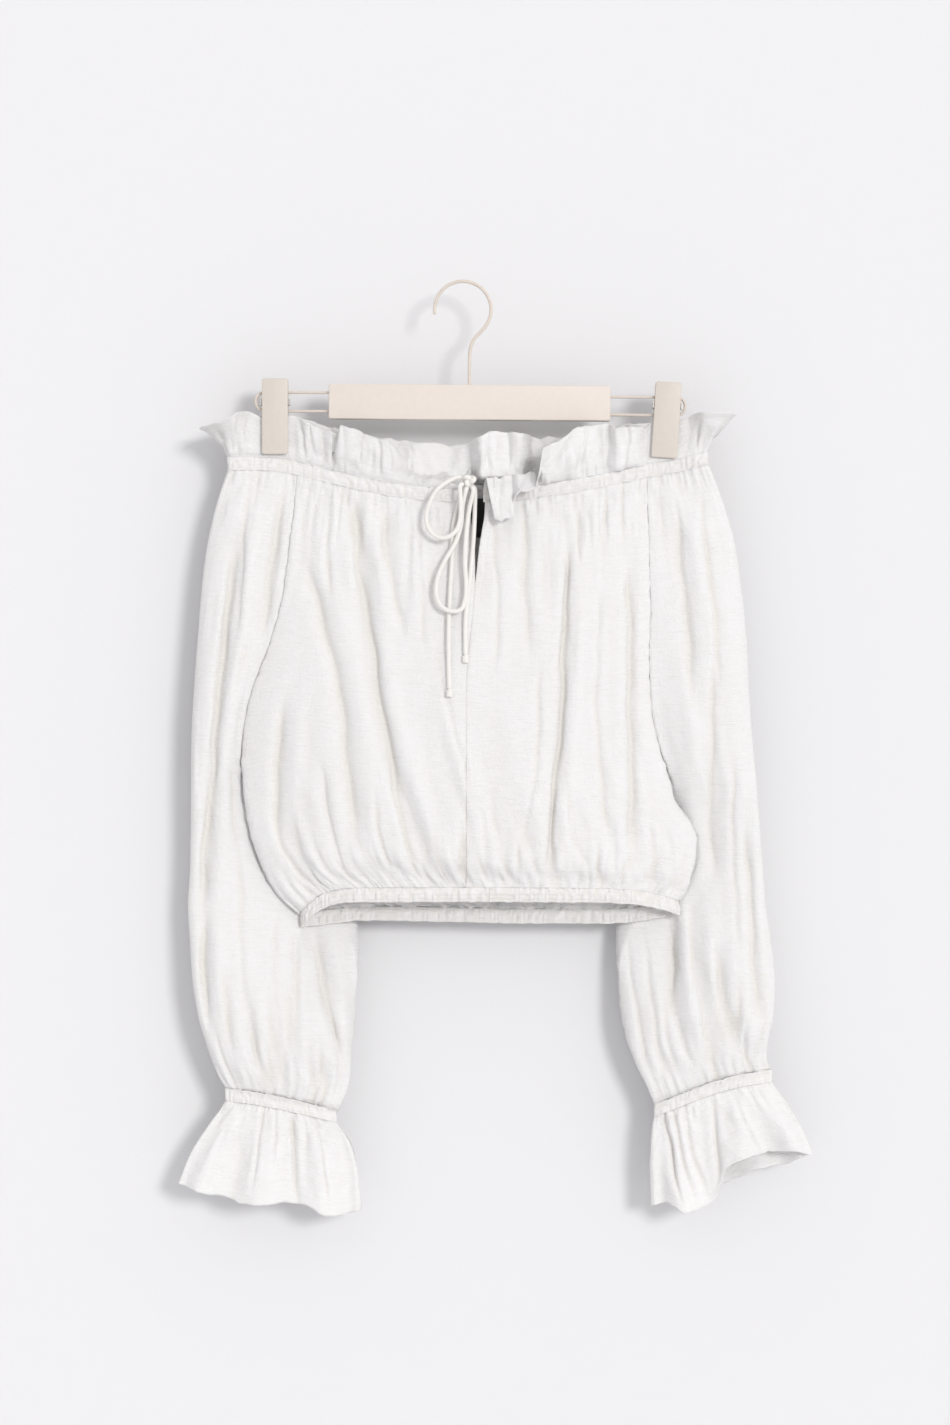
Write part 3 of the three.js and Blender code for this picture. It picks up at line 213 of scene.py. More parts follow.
SLEEVE_LEFT_FOLDS = table(FOLD_COLUMNS, [
    [-144, -160, -154, -225, -162, -285, 6, 3, -1], [-180, -200, -196, -350, -208, -500, 6, 4.5, 1],
    [-206, -500, -207, -560, -203, -600, 6, 4, 1], [-121, -512, -110, -560, -98, -628, 7, 5, 1],
    [-171, -565, -167, -601, -160, -634, 6, 3, -1],
])
SLEEVE_RIGHT_FOLDS = table(FOLD_COLUMNS, [
    [168, -175, 178, -260, 186, -350, 7, 3, 1], [197, -300, 198, -400, 200, -478, 8, 3.5, -1],
    [167, -505, 168, -560, 180, -615, 6.5, 4, 1], [184, -493, 190, -560, 202, -620, 6, 3, 1],
    [203, -525, 209, -570, 217, -610, 6, 3.5, 1], [226, -430, 231, -520, 236, -596, 6, 3, 1],
])


# Creases seen on the front: half width, depth, raised side, places from top to bottom
FRONT_CREASES = [
    (2.6, 2.6, 1, [(-86, -172), (-84, -222), (-78, -254), (-66, -334), (-58, -366), (-54, -406),
        (-42, -450), (-27, -476)]),
    (2.4, 1.6, -1, [(-64, -176), (-60, -214), (-53, -254), (-48, -286)]),
    (3.0, 2.0, 1, [(-126, -222), (-116, -254), (-100, -318), (-90, -398), (-85, -438)]),
    (2.6, 2.2, 1, [(-142, -334), (-150, -414), (-146, -446), (-131, -470), (-119, -488)]),
    (2.2, 2.0, -1, [(-113, -382), (-108, -414), (-102, -446), (-91, -478)]),
    (1.9, 3.0, 1, [(84, -208), (82, -238), (81, -286), (79, -334), (76, -374), (72, -414), (68, -454),
        (66, -474)]),
    (2.6, 1.4, 1, [(47, -176), (50, -237), (52, -302)]),
    (1.8, 1.6, 1, [(92, -176), (92, -230)]),
    (1.8, 1.5, -1, [(114, -168), (113.5, -198)]),
    (2.4, 2.2, -1, [(132, -222), (133, -334), (135, -454)]),
    (2.2, 1.5, 1, [(143, -165), (146, -198)]),
    (2.0, 1.4, 1, [(-1, -426), (-2, -470), (6, -486)]),
    (2.0, 1.4, 1, [(23, -406), (30, -462), (39, -478)]),
    (1.8, 1.3, -1, [(42, -446), (44, -478)]),
    (2.2, 1.8, 1, [(84, -398), (87, -438), (101, -470)]),
    (2.0, 1.2, -1, [(-36, -176), (-34, -240), (-30, -300)]),
    (2.2, 1.1, 1, [(24, -176), (27, -250), (26, -320)]),
    (2.4, 1.2, -1, [(-20, -300), (-6, -360), (8, -420)]),
    (2.2, 1.3, 1, [(62, -300), (58, -380), (50, -440)]),
    (2.4, 1.4, 1, [(108, -240), (106, -320), (110, -400), (118, -450)]),
    (2.2, 1.6, -1, [(-70, -400), (-66, -440), (-56, -482)]),
    (2.2, 1.6, 1, [(150, -420), (152, -455), (150, -486)]),
    (2.2, 1.4, -1, [(162, -430), (166, -460), (164, -486)]),
    (2.4, 1.6, 1, [(-106, -176), (-108, -214), (-104, -258)]),
]

# Creases of the back, like those of the front
BACK_CREASES = [
    (2.6, 2.2, 1, [(-90, -176), (-86, -260), (-78, -370), (-58, -484)]),
    (2.4, 1.6, -1, [(-30, -172), (-26, -260), (-22, -360), (-12, -486)]),
    (2.4, 2.0, 1, [(60, -172), (64, -280), (66, -380), (58, -486)]),
    (2.4, 1.6, -1, [(118, -180), (122, -300), (118, -400), (110, -482)]),
    (2.0, 1.4, 1, [(14, -172), (16, -250), (20, -320)]),
    (2.0, 1.3, -1, [(92, -172), (90, -240), (94, -310)]),
    (2.0, 1.5, 1, [(-110, -200), (-118, -300), (-120, -380)]),
    (2.0, 1.6, 1, [(30, -400), (34, -450), (40, -490)]),
    (2.0, 1.4, -1, [(-90, -420), (-84, -460), (-78, -492)]),
    (2.0, 1.5, 1, [(140, -400), (142, -440), (136, -486)]),
]

# Creases of the sleeves' fronts and backs
LEFT_SLEEVE_CREASES = [
    (2.4, 2.0, -1, [(-144, -158), (-150, -206), (-156, -254), (-161, -286)]),
    (2.6, 2.6, 1, [(-181, -210), (-192, -300), (-200, -390), (-206, -450), (-208, -500)]),
    (2.2, 1.8, 1, [(-206, -500), (-207, -560), (-203, -604)]),
    (2.8, 3.0, 1, [(-121, -516), (-114, -558), (-103, -598), (-96, -628)]),
    (2.0, 1.8, -1, [(-171, -575), (-167, -601), (-163, -632)]),
    (2.0, 1.5, 1, [(-170, -160), (-176, -220), (-182, -290)]),
    (2.2, 1.4, 1, [(-186, -380), (-180, -460), (-176, -540), (-172, -600)]),
    (2.2, 1.5, -1, [(-150, -500), (-150, -560), (-146, -620)]),
    (2.0, 1.4, 1, [(-134, -510), (-134, -580), (-128, -636)]),
    (2.0, 1.3, -1, [(-192, -540), (-188, -590), (-180, -626)]),
]
RIGHT_SLEEVE_CREASES = [
    (2.4, 1.8, 1, [(168, -160), (176, -240), (184, -340)]),
    (2.4, 2.2, 1, [(167, -512), (170, -544), (167, -574), (178, -614), (193, -640)]),
    (2.2, 2.0, 1, [(182, -494), (184, -542), (191, -590), (202, -622)]),
    (2.2, 2.2, 1, [(202, -526), (207, -566), (216, -610)]),
    (2.4, 1.8, 1, [(226, -430), (231, -520), (236, -596)]),
    (2.2, 1.4, -1, [(188, -160), (198, -240), (206, -330)]),
    (2.2, 1.6, -1, [(200, -300), (198, -400), (200, -478)]),
    (2.2, 1.4, 1, [(216, -380), (216, -460), (222, -540)]),
    (2.0, 1.4, 1, [(146, -520), (150, -570), (160, -630)]),
    (2.0, 1.3, -1, [(132, -520), (136, -570), (148, -625)]),
]


FOLDS = {"front": BODY_FOLDS, "back": BACK_FOLDS, "left": SLEEVE_LEFT_FOLDS, "right": SLEEVE_RIGHT_FOLDS}
CREASES = {
    "front": FRONT_CREASES, "back": BACK_CREASES, "left": LEFT_SLEEVE_CREASES, "right": RIGHT_SLEEVE_CREASES,
}
TUBES = {"left": SLEEVE_LEFT, "right": SLEEVE_RIGHT}
# Share of the main folds' depth that shows on the front and back
MAIN_FOLDS = 0.74


def clamp(value, low, high):
    return np.minimum(np.maximum(value, low), high)


def mix(a, b, share):
    return a + (b - a) * share


def ramp(value, start, stop):
    share = clamp((np.asarray(value, float) - start) / (stop - start), 0, 1)
    return share * share * (3 - 2 * share)


def read(rows, column, at):
    """One column of a table by its first column, smoothly and without overshoot."""
    key, value = rows["key"], rows[column]
    run = np.diff(key)
    slope = np.diff(value) / run
    tangent = np.concatenate([slope[:1], np.zeros(len(slope) - 1), slope[-1:]])
    before, after = slope[:-1], slope[1:]
    same = before * after > 0
    total = np.where(same, before + after, 1)
    tangent[1:-1] = np.where(same, 2 * before * after / total, 0)
    at = clamp(np.asarray(at, float), key[0], key[-1])
    i = clamp(np.searchsorted(key, at, side="right") - 1, 0, len(run) - 1)
    t = (at - key[i]) / run[i]
    hermite = (2 * t**3 - 3 * t**2 + 1) * value[i] + (3 * t**2 - 2 * t**3) * value[i + 1]
    bend = (t**3 - 2 * t**2 + t) * tangent[i] + (t**3 - t**2) * tangent[i + 1]
    return hermite + bend * run[i]


def fold_depth(folds, x, z):
    """Depth of all main folds of a list at one place, positive away from the viewer."""
    total = np.zeros(np.shape(x))
    for row in zip(*(folds[name] for name in FOLD_COLUMNS)):
        f = dict(zip(FOLD_COLUMNS, row))
        line = table(["z", "x"], [[f["z_" + part], f["x_" + part]] for part in ("low", "mid", "top")])
        d = (x - read(line, "x", z)) / f["width"]
        fade = ramp(z, f["z_low"] - 12, f["z_low"] + 28) * (1 - ramp(z, f["z_top"] - 34, f["z_top"] + 12))
        lip = 0.55 * np.exp(-((d - 1.9 * f["lip"]) ** 2)) if f["lip"] else 0
        total += f["depth"] * (np.exp(-d * d) - lip) * fade
    return total


def crease_depth(lines, place):
    """Depth of the finer creases at each place: a narrow trough beside a rolled ridge."""
    x, z = place[..., 0], place[..., 2]
    total = np.zeros(np.shape(x))
    for width, depth, lip, points in lines:
        rows = sorted(([low, across] for across, low in points))
        line = table(["z", "x"], rows)
        high, low = rows[-1][0], rows[0][0]
        reach = min(30, (high - low) * 0.35)
        wander = 0.8 * np.sin(z / 17 + width * 5) + 0.5 * np.sin(z / 7.3 + depth * 9)
        d = (x - read(line, "x", z) - wander) / width
        fade = ramp(z, low - 4, low + reach) * (1 - ramp(z, high - reach, high + 4))
        ridge = 0.38 * np.exp(-(((d - 2.3 * lip) / 1.7) ** 2))
        far = 0.2 * np.exp(-(((d + 2.6 * lip) / 1.9) ** 2))
        total += depth * (np.exp(-d * d) - ridge - far) * fade
    return total


NOISE_SIZE = 128


def noise(seed, a, b):
    """Smooth unevenness between -1 and 1 over two coordinates, the same each run."""
    values = np.random.default_rng(seed).uniform(-1, 1, (NOISE_SIZE, NOISE_SIZE))
    i, j = np.floor(a).astype(int), np.floor(b).astype(int)
    p, q = a - i, b - j
    p, q = p * p * (3 - 2 * p), q * q * (3 - 2 * q)

    def corner(m, n):
        return values[(i + m) % NOISE_SIZE, (j + n) % NOISE_SIZE]

    low = mix(corner(0, 0), corner(1, 0), p)
    high = mix(corner(0, 1), corner(1, 1), p)
    return mix(low, high, q)


# Pleats of gathered cloth: pitch, height, where they begin and where they have faded
PLEAT_STEPS = [(3.4, 1.0, -1, 20), (6.4, 1.45, 2, 60), (12.5, 1.6, 14, 140), (24, 1.4, 40, 260)]


def gathers(seed, along, away, strength=1.0, steps=PLEAT_STEPS):
    """Rise of cloth gathered on a casing: small pleats that merge into fewer, wider ones."""
    total = np.zeros(np.shape(along))
    for k, (pitch, height, start, end) in enumerate(steps):
        n = noise(seed + 31 * k, along / pitch + 40, away / (pitch * 6) + 20)
        hill = np.sqrt(n * n + 0.012) * 2 - 0.9
        fade = ramp(away, start - 1, start + pitch) * (1 - ramp(away, end * 0.35, end))
        total += height * hill * fade
    return total * strength


# Centre lines of the neck and hem rings
def end_round(x, ends):
    near = np.minimum(x - ends["left"], ends["right"] - x)
    share = clamp(near / ends["round"], 0, 1)
    return np.sqrt(1 - (1 - share) ** 2)


def ring_of(rows, ends, gap):
    """A flat ring through a table of front and back lines, read by the share of its length."""
    width = ends["right"] - ends["left"]
    count = 160

    def angle(share):
        return math.acos(1 - 2 * share) / math.pi

    start = (gap["right"] - ends["left"]) / width if gap else 0.5
    stop = (gap["left"] - ends["left"]) / width if gap else 0.5
    steps = np.arange(count + 1) / count
    first = (1 - np.cos(np.pi * mix(angle(start), 1, steps))) / 2
    behind = (1 + np.cos(np.pi * np.arange(1, 2 * count) / (2 * count))) / 2
    last = (1 - np.cos(np.pi * mix(0, angle(stop), steps))) / 2
    x = mix(ends["left"], ends["right"], np.concatenate([first, behind, last]))
    back = np.zeros(len(x), bool)
    back[count + 1:3 * count] = True
    depth = np.where(back, read(rows, "back_y", x), read(rows, "front_y", x)) * end_round(x, ends)
    height = np.where(back, read(rows, "back_z", x), read(rows, "front_z", x))
    points = np.stack([x, depth, height], 1)
    lengths = np.concatenate([[0], np.cumsum(np.linalg.norm(np.diff(points, axis=0), axis=1))])
    total, n = lengths[-1], len(points)
    closed = not gap

    def at(share):
        share = np.asarray(share, float)
        s = (share - np.floor(share) if closed else clamp(share, 0, 1)) * total
        i = clamp(np.searchsorted(lengths, s, side="right") - 1, 0, n - 2)
        t = (s - lengths[i]) / np.maximum(lengths[i + 1] - lengths[i], 1e-9)
        p = mix(points[i], points[i + 1], t[..., None])
        ahead = (i + 3) % n if closed else clamp(i + 3, 0, n - 1)
        past = (i - 2) % n if closed else clamp(i - 2, 0, n - 1)
        run = points[ahead] - points[past]
        out = np.stack([run[..., 1], -run[..., 0], np.zeros(run.shape[:-1])], -1)
        out /= np.linalg.norm(out, axis=-1, keepdims=True)
        return p, out, s

    at.lengths = lengths
    at.points = points
    return at


neck_ring = ring_of(NECK, NECK_ENDS, SLIT_EDGES)
hem_ring = ring_of(HEM, HEM_ENDS, None)


def neck_y(side, x):
    return read(NECK, side + "_y", x) * end_round(x, NECK_ENDS)


def hem_y(side, x):
    return read(HEM, side + "_y", x) * end_round(x, HEM_ENDS)


def body_point(side, u, v):
    """Where the front or back lies at a share across and a share down."""
    left_x, right_x = read(EDGES, "left_x", v), read(EDGES, "right_x", v)
    top = {name: EDGES[name][0] for name in EDGES}
    low = {name: EDGES[name][-1] for name in EDGES}
    top_x, low_x = mix(top["left_x"], top["right_x"], u), mix(low["left_x"], low["right_x"], u)
    x = mix(left_x, right_x, u)
    top_z = read(NECK, side + "_z", top_x) - NECK_BAND / 2 - SEAM
    low_z = read(HEM, side + "_z", low_x) + HEM_BAND / 2 + 2 * SEAM
    seam_z = mix(read(EDGES, "left_z", v), read(EDGES, "right_z", v), u)
    seam_top, seam_low = mix(top["left_z"], top["right_z"], u), mix(low["left_z"], low["right_z"], u)
    z = seam_z + (top_z - seam_top) * (1 - v) ** 1.5 + (low_z - seam_low) * v**2
    sign = -1 if side == "front" else 1
    arch = np.sin(np.pi * clamp(u, 0.0005, 0.9995)) ** 0.55
    belly = read(DEPTHS, side + "_seam", v) + sign * read(DEPTHS, side + "_belly", v) * arch
    at_neck, at_hem = 1 - ramp(v, 0, 0.13), ramp(v, 0.89, 1)
    y = belly * (1 - at_neck - at_hem) + neck_y(side, top_x) * at_neck
    y = y + hem_y(side, clamp(low_x, HEM_ENDS["left"], HEM_ENDS["right"])) * at_hem
    y = y + MAIN_FOLDS * fold_depth(FOLDS[side], x, z) * ramp(np.minimum(u, 1 - u), 0, 0.05)
    return np.stack([x, y, z], -1)


def body_y(side, x, z):
    """Depth of the front or back at a place, found by a few steps."""
    u, v = np.full(np.shape(x), 0.5), np.full(np.shape(x), 0.5)
    for _ in range(24):
        p = body_point(side, u, v)
        u = clamp(u + (x - p[..., 0]) / 330, 0, 1)
        v = clamp(v - (z - p[..., 2]) / 345, 0, 1)
    return body_point(side, u, v)[..., 1]


def front_share(half, w, v):
    """Share across the whole front for a share across one half of it."""
    u = w * 0.5 if half == "left" else 0.5 + w * 0.5
    left_x, right_x = read(EDGES, "left_x", v), read(EDGES, "right_x", v)
    for _ in range(6):
        z = body_point("front", u, v)[..., 2]
        centre, gap = read(CENTRE, "x", z), read(CENTRE, "half", z)
        if half == "left":
            x = mix(left_x, centre - gap, w)
        else:
            x = mix(centre + gap, right_x, w)
        u = (x - left_x) / (right_x - left_x)
    return u


def edge_at(column, z):
    """Edge of the body at a height."""
    height = EDGES[column.replace("_x", "_z")]
    share = np.interp(-z, -height, EDGES["key"])
    return read(EDGES, column, share)


# Rise of the wrist lines above a straight one
WRIST_ARC = {"left": 2.5, "right": 5.5}


def wrist_rise(which, across):
    return WRIST_ARC[which] * np.sin(np.pi * across) * (0.5 + across * 0.6)


# Heights between which a sleeve comes forward again below the body
AT_HEM = -532
BELOW_HEM = -590
# How far a sleeve hangs behind the back and at its side, and its two walls from each other
BEHIND_BACK = 3.6
BESIDE_BODY = 4.4
WALLS_APART = 2.6
# How far the sleeves' inner edges move clear of the body just below the underarm
UNDERARM_SHIFT = {"left": 3.5, "right": -3.5}


def strip_at(rows, axis, drop, across):
    """A coordinate of a sleeve's tube or a cuff, from its inner edge to its outer one."""
    return mix(read(rows, "inner" + axis, drop), read(rows, "outer" + axis, drop), across)


def sleeve_point(which, t, turn):
    """A sleeve: open towards the armhole down to the underarm, then a tube to the wrist."""
    tube = TUBES[which]
    across = np.sin(np.pi * turn) ** 2
    front = turn < 0.5
    sign = np.where(front, -1, 1)

    def sided(rows, column, at):
        return np.where(front, read(rows, "front" + column, at), read(rows, "back" + column, at))

    v = clamp(t, 0, 1) * UNDERARM
    seam_x, seam_z = read(EDGES, which + "_x", v), read(EDGES, which + "_z", v)
    x_high = mix(seam_x, read(SLEEVE_TOPS, which + "_x", v), across)
    top_x = mix(EDGES[which + "_x"][0], NECK_ENDS[which], across)
    top_z = sided(NECK, "_z", top_x) - NECK_BAND / 2 - 2 * SEAM
    z_high = seam_z + (top_z - EDGES[which + "_z"][0]) * (1 - clamp(t, 0, 1))
    seam_y = sided(DEPTHS, "_seam", v)
    rounding = np.sqrt(np.maximum(1 - across**4, 0))
    middle = mix(0.6, 3, across) * ramp(t, 0, 0.3)
    full = sign * read(DEPTHS, "sleeve", v) + middle
    own = mix(seam_y, full, ramp(across, 0, 0.45)) * rounding + middle * (1 - rounding)
    ring_y = sided(NECK, "_y", top_x) * end_round(top_x, NECK_ENDS)
    y_high = mix(own, ring_y, 1 - ramp(v, 0, 0.13))
    fade_high = ramp(t, 0, 0.2) * ramp(across, 0, 0.15)

    drop = clamp(t - 1, 0, 1)
    x_low, z_low = (strip_at(tube, axis, drop, across) for axis in ("_x", "_z"))
    z_low = z_low + wrist_rise(which, across) * ramp(drop, 0.85, 1)
    under = ramp(drop, 0, 0.02) * (1 - ramp(drop, 0.07, 0.2)) * (1 - ramp(across, 0, 0.3))
    x_low = x_low + UNDERARM_SHIFT[which] * under
    middle = strip_at(tube, "_y", drop, across)
    flat = mix(4, 2, ramp(drop, 0.85, 1))
    thick = read(tube, "half", drop) * np.sqrt(np.maximum(1 - np.abs(2 * across - 1) ** flat, 0))
    y_low = middle + sign * thick
    inside = np.minimum(x_low - edge_at("left_x", z_low), edge_at("right_x", z_low) - x_low)
    behind = body_y("back", clamp(x_low, -176, 186), z_low) + BEHIND_BACK
    lowest = np.where(inside > 0, behind, BESIDE_BODY + inside * 0.5)
    limit = lowest + np.where(front, 0, WALLS_APART)
    tucked = np.maximum(y_low, limit)
    tuck = ramp(drop, 0, mix(0.03, 0.13, ramp(across, 0, 0.4))) * ramp(z_low, BELOW_HEM, AT_HEM)
    y_low = mix(y_low, tucked, tuck)
    fade_low = (1 - ramp(drop, 0.9, 1)) * ramp(across, 0, 0.12)

    high = t <= 1
    x, y, z = np.where(high, x_high, x_low), np.where(high, y_high, y_low), np.where(high, z_high, z_low)
    fade = np.where(high, fade_high, fade_low)
    shade = np.where(front, 1, -0.7)
    y = y + shade * fold_depth(FOLDS[which], x, z) * fade * ramp(1 - across, 0, 0.08)
    return np.stack([x, y, z], -1)


# Cloth meshes
def unit(a):
    return a / np.maximum(np.linalg.norm(a, axis=-1, keepdims=True), 1e-9)


def outward(place, turn, ring=False):
    """Unit normals of a grid of places; turn is the side that counts as outside."""
    across = np.roll(place, -1, 1) - np.roll(place, 1, 1) if ring else np.gradient(place, axis=1)
    return unit(np.cross(np.gradient(place, axis=0), across)) * turn


def link(name, verts, parts, uvs):
    """A smooth mesh object at the origin, from places in millimetres and arrays of faces."""
    corners = np.concatenate([part.ravel() for part in parts]).astype(np.int32)
    sizes = np.repeat([part.shape[1] for part in parts], [len(part) for part in parts])
    mesh = bpy.data.meshes.new(name)
    mesh.vertices.add(len(verts))
    mesh.vertices.foreach_set("co", (verts * MM).astype(np.float32).ravel())
    mesh.loops.add(len(corners))
    mesh.loops.foreach_set("vertex_index", corners)
    mesh.polygons.add(len(sizes))
    mesh.polygons.foreach_set("loop_start", (np.cumsum(sizes) - sizes).astype(np.int32))
    mesh.update(calc_edges=True)
    layer = mesh.uv_layers.new(name="UVMap")
    layer.data.foreach_set("uv", uvs[corners].astype(np.float32).ravel())
    mesh.polygons.foreach_set("use_smooth", np.ones(len(sizes), bool))
    mesh.validate()
    obj = bpy.data.objects.new(name, mesh)
    bpy.context.scene.collection.objects.link(obj)
    return obj


def pick(*pieces):
    """Selects these pieces alone, with the first one active."""
    bpy.ops.object.select_all(action="DESELECT")
    for piece in pieces:
        piece.select_set(True)
    bpy.context.view_layer.objects.active = pieces[0]


def together(pieces):
    """Joins separate meshes into the first one."""
    pick(*pieces)
    bpy.ops.object.join()
    return pieces[0]


def shell(name, place, thick, turn, ring=False, offset=(0, 0)):
    """A closed thin cloth around a grid of places, with its flat lengths in metres as UV."""
    rows, columns = place.shape[:2]
    half = rows * columns
    if np.ndim(thick) == 2:
        thick = thick[..., None]
    apart = outward(place, turn, ring) * thick / 2
    ids = np.arange(half).reshape(rows, columns)
    right = np.roll(ids, -1, 1)
    keep = slice(None) if ring else slice(0, columns - 1)

    def rim(a, b):
        return np.stack([b, a, a + half, b + half], -1)

    face = np.stack([ids[:-1, keep], right[:-1, keep], right[1:, keep], ids[1:, keep]], -1).reshape(-1, 4)
    rims = [rim(ids[0, keep], right[0, keep]), rim(right[-1, keep], ids[-1, keep])]
    if not ring:
        rims += [rim(ids[1:, 0], ids[:-1, 0]), rim(ids[:-1, -1], ids[1:, -1])]
    parts = [face, face[:, ::-1] + half] + rims
    if turn > 0:
        parts = [face[:, ::-1], face + half] + [part[:, ::-1] for part in rims]
    step = np.linalg.norm(np.diff(place, axis=1), axis=-1)
    along = np.concatenate([np.zeros((rows, 1)), np.cumsum(step, 1)], 1)
    along -= along[:, columns // 2:columns // 2 + 1]
    fall = np.linalg.norm(np.diff(place, axis=0), axis=-1).mean(1)
    away = np.concatenate([[0], np.cumsum(fall)])[:, None] * np.ones((1, columns))
    uv = np.stack([along + offset[0], away + offset[1]], -1).reshape(-1, 2) * MM
    verts = np.concatenate([(place + apart).reshape(-1, 3), (place - apart).reshape(-1, 3)])
    return link(name, verts, parts, np.concatenate([uv, uv]))


def spread(count, start=0.0, stop=1.0):
    return np.linspace(start, stop, count)


def grid(us, vs):
    """Two grids of shares: down by row and across by column."""
    return np.meshgrid(us, vs)


def pucker(seed, along, away, height=0.5, reach=5.0):
    """Small unevenness of cloth beside a sewn seam."""
    groove = -0.35 * np.exp(-((away / 1.4) ** 2))
    ripple = noise(seed, along / 5.0, away / 9.0 + 3)
    return groove + height * ripple * np.exp(-away / reach)


def set_painted_shade(obj, painted_shade):
    """Painted shade of each place of a cloth, from 0 to 1, by how deep in a fold it lies, on both of its
    faces.
    """
    values = clamp(np.asarray(painted_shade, np.float32), 0, 1).ravel()
    layer = obj.data.attributes.new("painted_shade", "FLOAT", "POINT")
    layer.data.foreach_set("value", np.concatenate([values, values]).astype(np.float32))


# Materials
def start_material(name):
    made = bpy.data.materials.new(name)
    made.use_nodes = True
    made.node_tree.nodes.clear()
    return made, made.node_tree


def put(tree, kind, inputs=None, **settings):
    """A node with its settings, and its inputs given as values or as sockets."""
    made = tree.nodes.new(kind)
    for key, value in settings.items():
        setattr(made, key, value)
    for key, value in (inputs or {}).items():
        if isinstance(value, bpy.types.NodeSocket):
            tree.links.new(value, made.inputs[key])
        else:
            made.inputs[key].default_value = value
    return made


def grain(tree, coordinates, scale, detail=2.0, roughness=0.5, distortion=0.0):
    """Noise over coordinates stretched by a scale in waves per millimetre."""
    place = put(tree, "ShaderNodeMapping", {"Vector": coordinates, "Scale": scale}).outputs["Vector"]
    inputs = {"Vector": place, "Scale": 1.0, "Detail": detail}
    inputs.update({"Roughness": roughness, "Distortion": distortion})
    return put(tree, "ShaderNodeTexNoise", inputs).outputs["Fac"]


def maths(tree, kind, a, b=0.0, c=0.0):
    made = put(tree, "ShaderNodeMath", {0: a, 1: b, 2: c}, operation=kind)
    return made.outputs["Value"]


def blend_colours(tree, share, first, second):
    made = put(tree, "ShaderNodeMix", data_type="RGBA")
    for key, value in (("Factor", share), ("A", first), ("B", second)):
        kind = "VALUE" if key == "Factor" else "RGBA"
        socket = next(s for s in made.inputs if s.name == key and s.type == kind)
        if isinstance(value, bpy.types.NodeSocket):
            tree.links.new(value, socket)
        else:
            socket.default_value = value
    return next(s for s in made.outputs if s.type == "RGBA")


def span(tree, value, low, high, to_low=0.0, to_high=1.0):
    inputs = {"Value": value, "From Min": low, "From Max": high, "To Min": to_low, "To Max": to_high}
    return put(tree, "ShaderNodeMapRange", inputs).outputs["Result"]


def flat_place(tree, rotation=0.0):
    """Places on the flat cloth in millimetres, from the UV map."""
    uv = put(tree, "ShaderNodeUVMap", uv_map="UVMap").outputs["UV"]
    inputs = {"Vector": uv, "Scale": (1000, 1000, 1), "Rotation": (0, 0, rotation)}
    return put(tree, "ShaderNodeMapping", inputs).outputs["Vector"]


def bumped(tree, strength, distance, height):
    inputs = {"Strength": strength, "Distance": distance, "Height": height}
    return put(tree, "ShaderNodeBump", inputs).outputs["Normal"]


def surface(tree, colour, roughness, more):
    inputs = {"Base Color": colour, "Roughness": roughness, **more}
    return put(tree, "ShaderNodeBsdfPrincipled", inputs).outputs["BSDF"]


def end_material(made, shader):
    put(made.node_tree, "ShaderNodeOutputMaterial", {"Surface": shader})
    return made


def gauze_material(name, light, tone_and_shade, crinkle=1.0, through=0.13):
    """Crinkled cotton gauze: slubs across, fine crinkles down, a little light through it, and painted shade
    in its folds and pleats.
    """
    made, tree = start_material(name)
    place = flat_place(tree)
    slub = grain(tree, place, (0.075, 0.8, 1), 3, 0.55, 0.3)
    thread = grain(tree, place, (0.5, 3.0, 1), 2, 0.6)
    down = grain(tree, place, (0.42, 0.09, 1), 4, 0.6, 0.8)
    fine = grain(tree, place, (1.3, 0.35, 1), 3, 0.6, 0.4)
    cloud = grain(tree, place, (0.03, 0.03, 1), 2, 0.5)
    height = maths(tree, "MULTIPLY", slub, 1.1)
    for layer, weight in ((down, 0.8 * crinkle), (fine, 0.35 * crinkle), (thread, 0.22)):
        height = maths(tree, "MULTIPLY_ADD", layer, weight, height)
    normal = bumped(tree, 0.75, 0.0010, height)
    # Painted shade: the second colour grows with the shade attribute of folds and pleats, on top of the
    # slubs' and clouds' own tone
    painted_shade = put(tree, "ShaderNodeAttribute", attribute_name="painted_shade").outputs["Fac"]
    shade = maths(tree, "MULTIPLY_ADD", painted_shade, 0.65, span(tree, slub, 0.35, 0.68, 0.0, 0.28))
    shade = maths(tree, "MULTIPLY_ADD", span(tree, cloud, 0.35, 0.65), 0.12, shade)
    colour = blend_colours(tree, maths(tree, "MINIMUM", shade, 1.0), light, tone_and_shade)
    sheen = {"Specular IOR Level": 0.25, "Sheen Weight": 0.12, "Sheen Roughness": 0.5}
    face = surface(tree, colour, span(tree, thread, 0.3, 0.7, 0.78, 0.95), {"Normal": normal, **sheen})
    glow = put(tree, "ShaderNodeBsdfTranslucent", {"Color": colour, "Normal": normal}).outputs["BSDF"]
    both = put(tree, "ShaderNodeMixShader", {"Fac": through, 1: face, 2: glow}).outputs["Shader"]
    return end_material(made, both)


def cord_material():
    """Soft cotton cord: slanting strands along its length."""
    made, tree = start_material("cotton_cord")
    place = flat_place(tree, 0.6)
    wave = {"Vector": place, "Scale": 0.32, "Distortion": 1.2, "Detail": 2.0, "Detail Scale": 1.5}
    strand = put(tree, "ShaderNodeTexWave", wave, bands_direction="X").outputs["Fac"]
    fuzz = grain(tree, place, (1.6, 1.6, 1), 3, 0.6)
    normal = bumped(tree, 0.45, 0.0005, maths(tree, "MULTIPLY_ADD", fuzz, 0.5, strand))
    # Painted shade: darker colour in the grooves between the strands
    shade = span(tree, strand, 0.1, 0.9, 0.6, 0.0)
    colour = blend_colours(tree, shade, (0.91, 0.895, 0.872, 1), (0.83, 0.795, 0.74, 1))
    soft = {"Normal": normal, "Specular IOR Level": 0.25, "Sheen Weight": 0.1}
    return end_material(made, surface(tree, colour, span(tree, fuzz, 0.3, 0.7, 0.75, 0.92), soft))


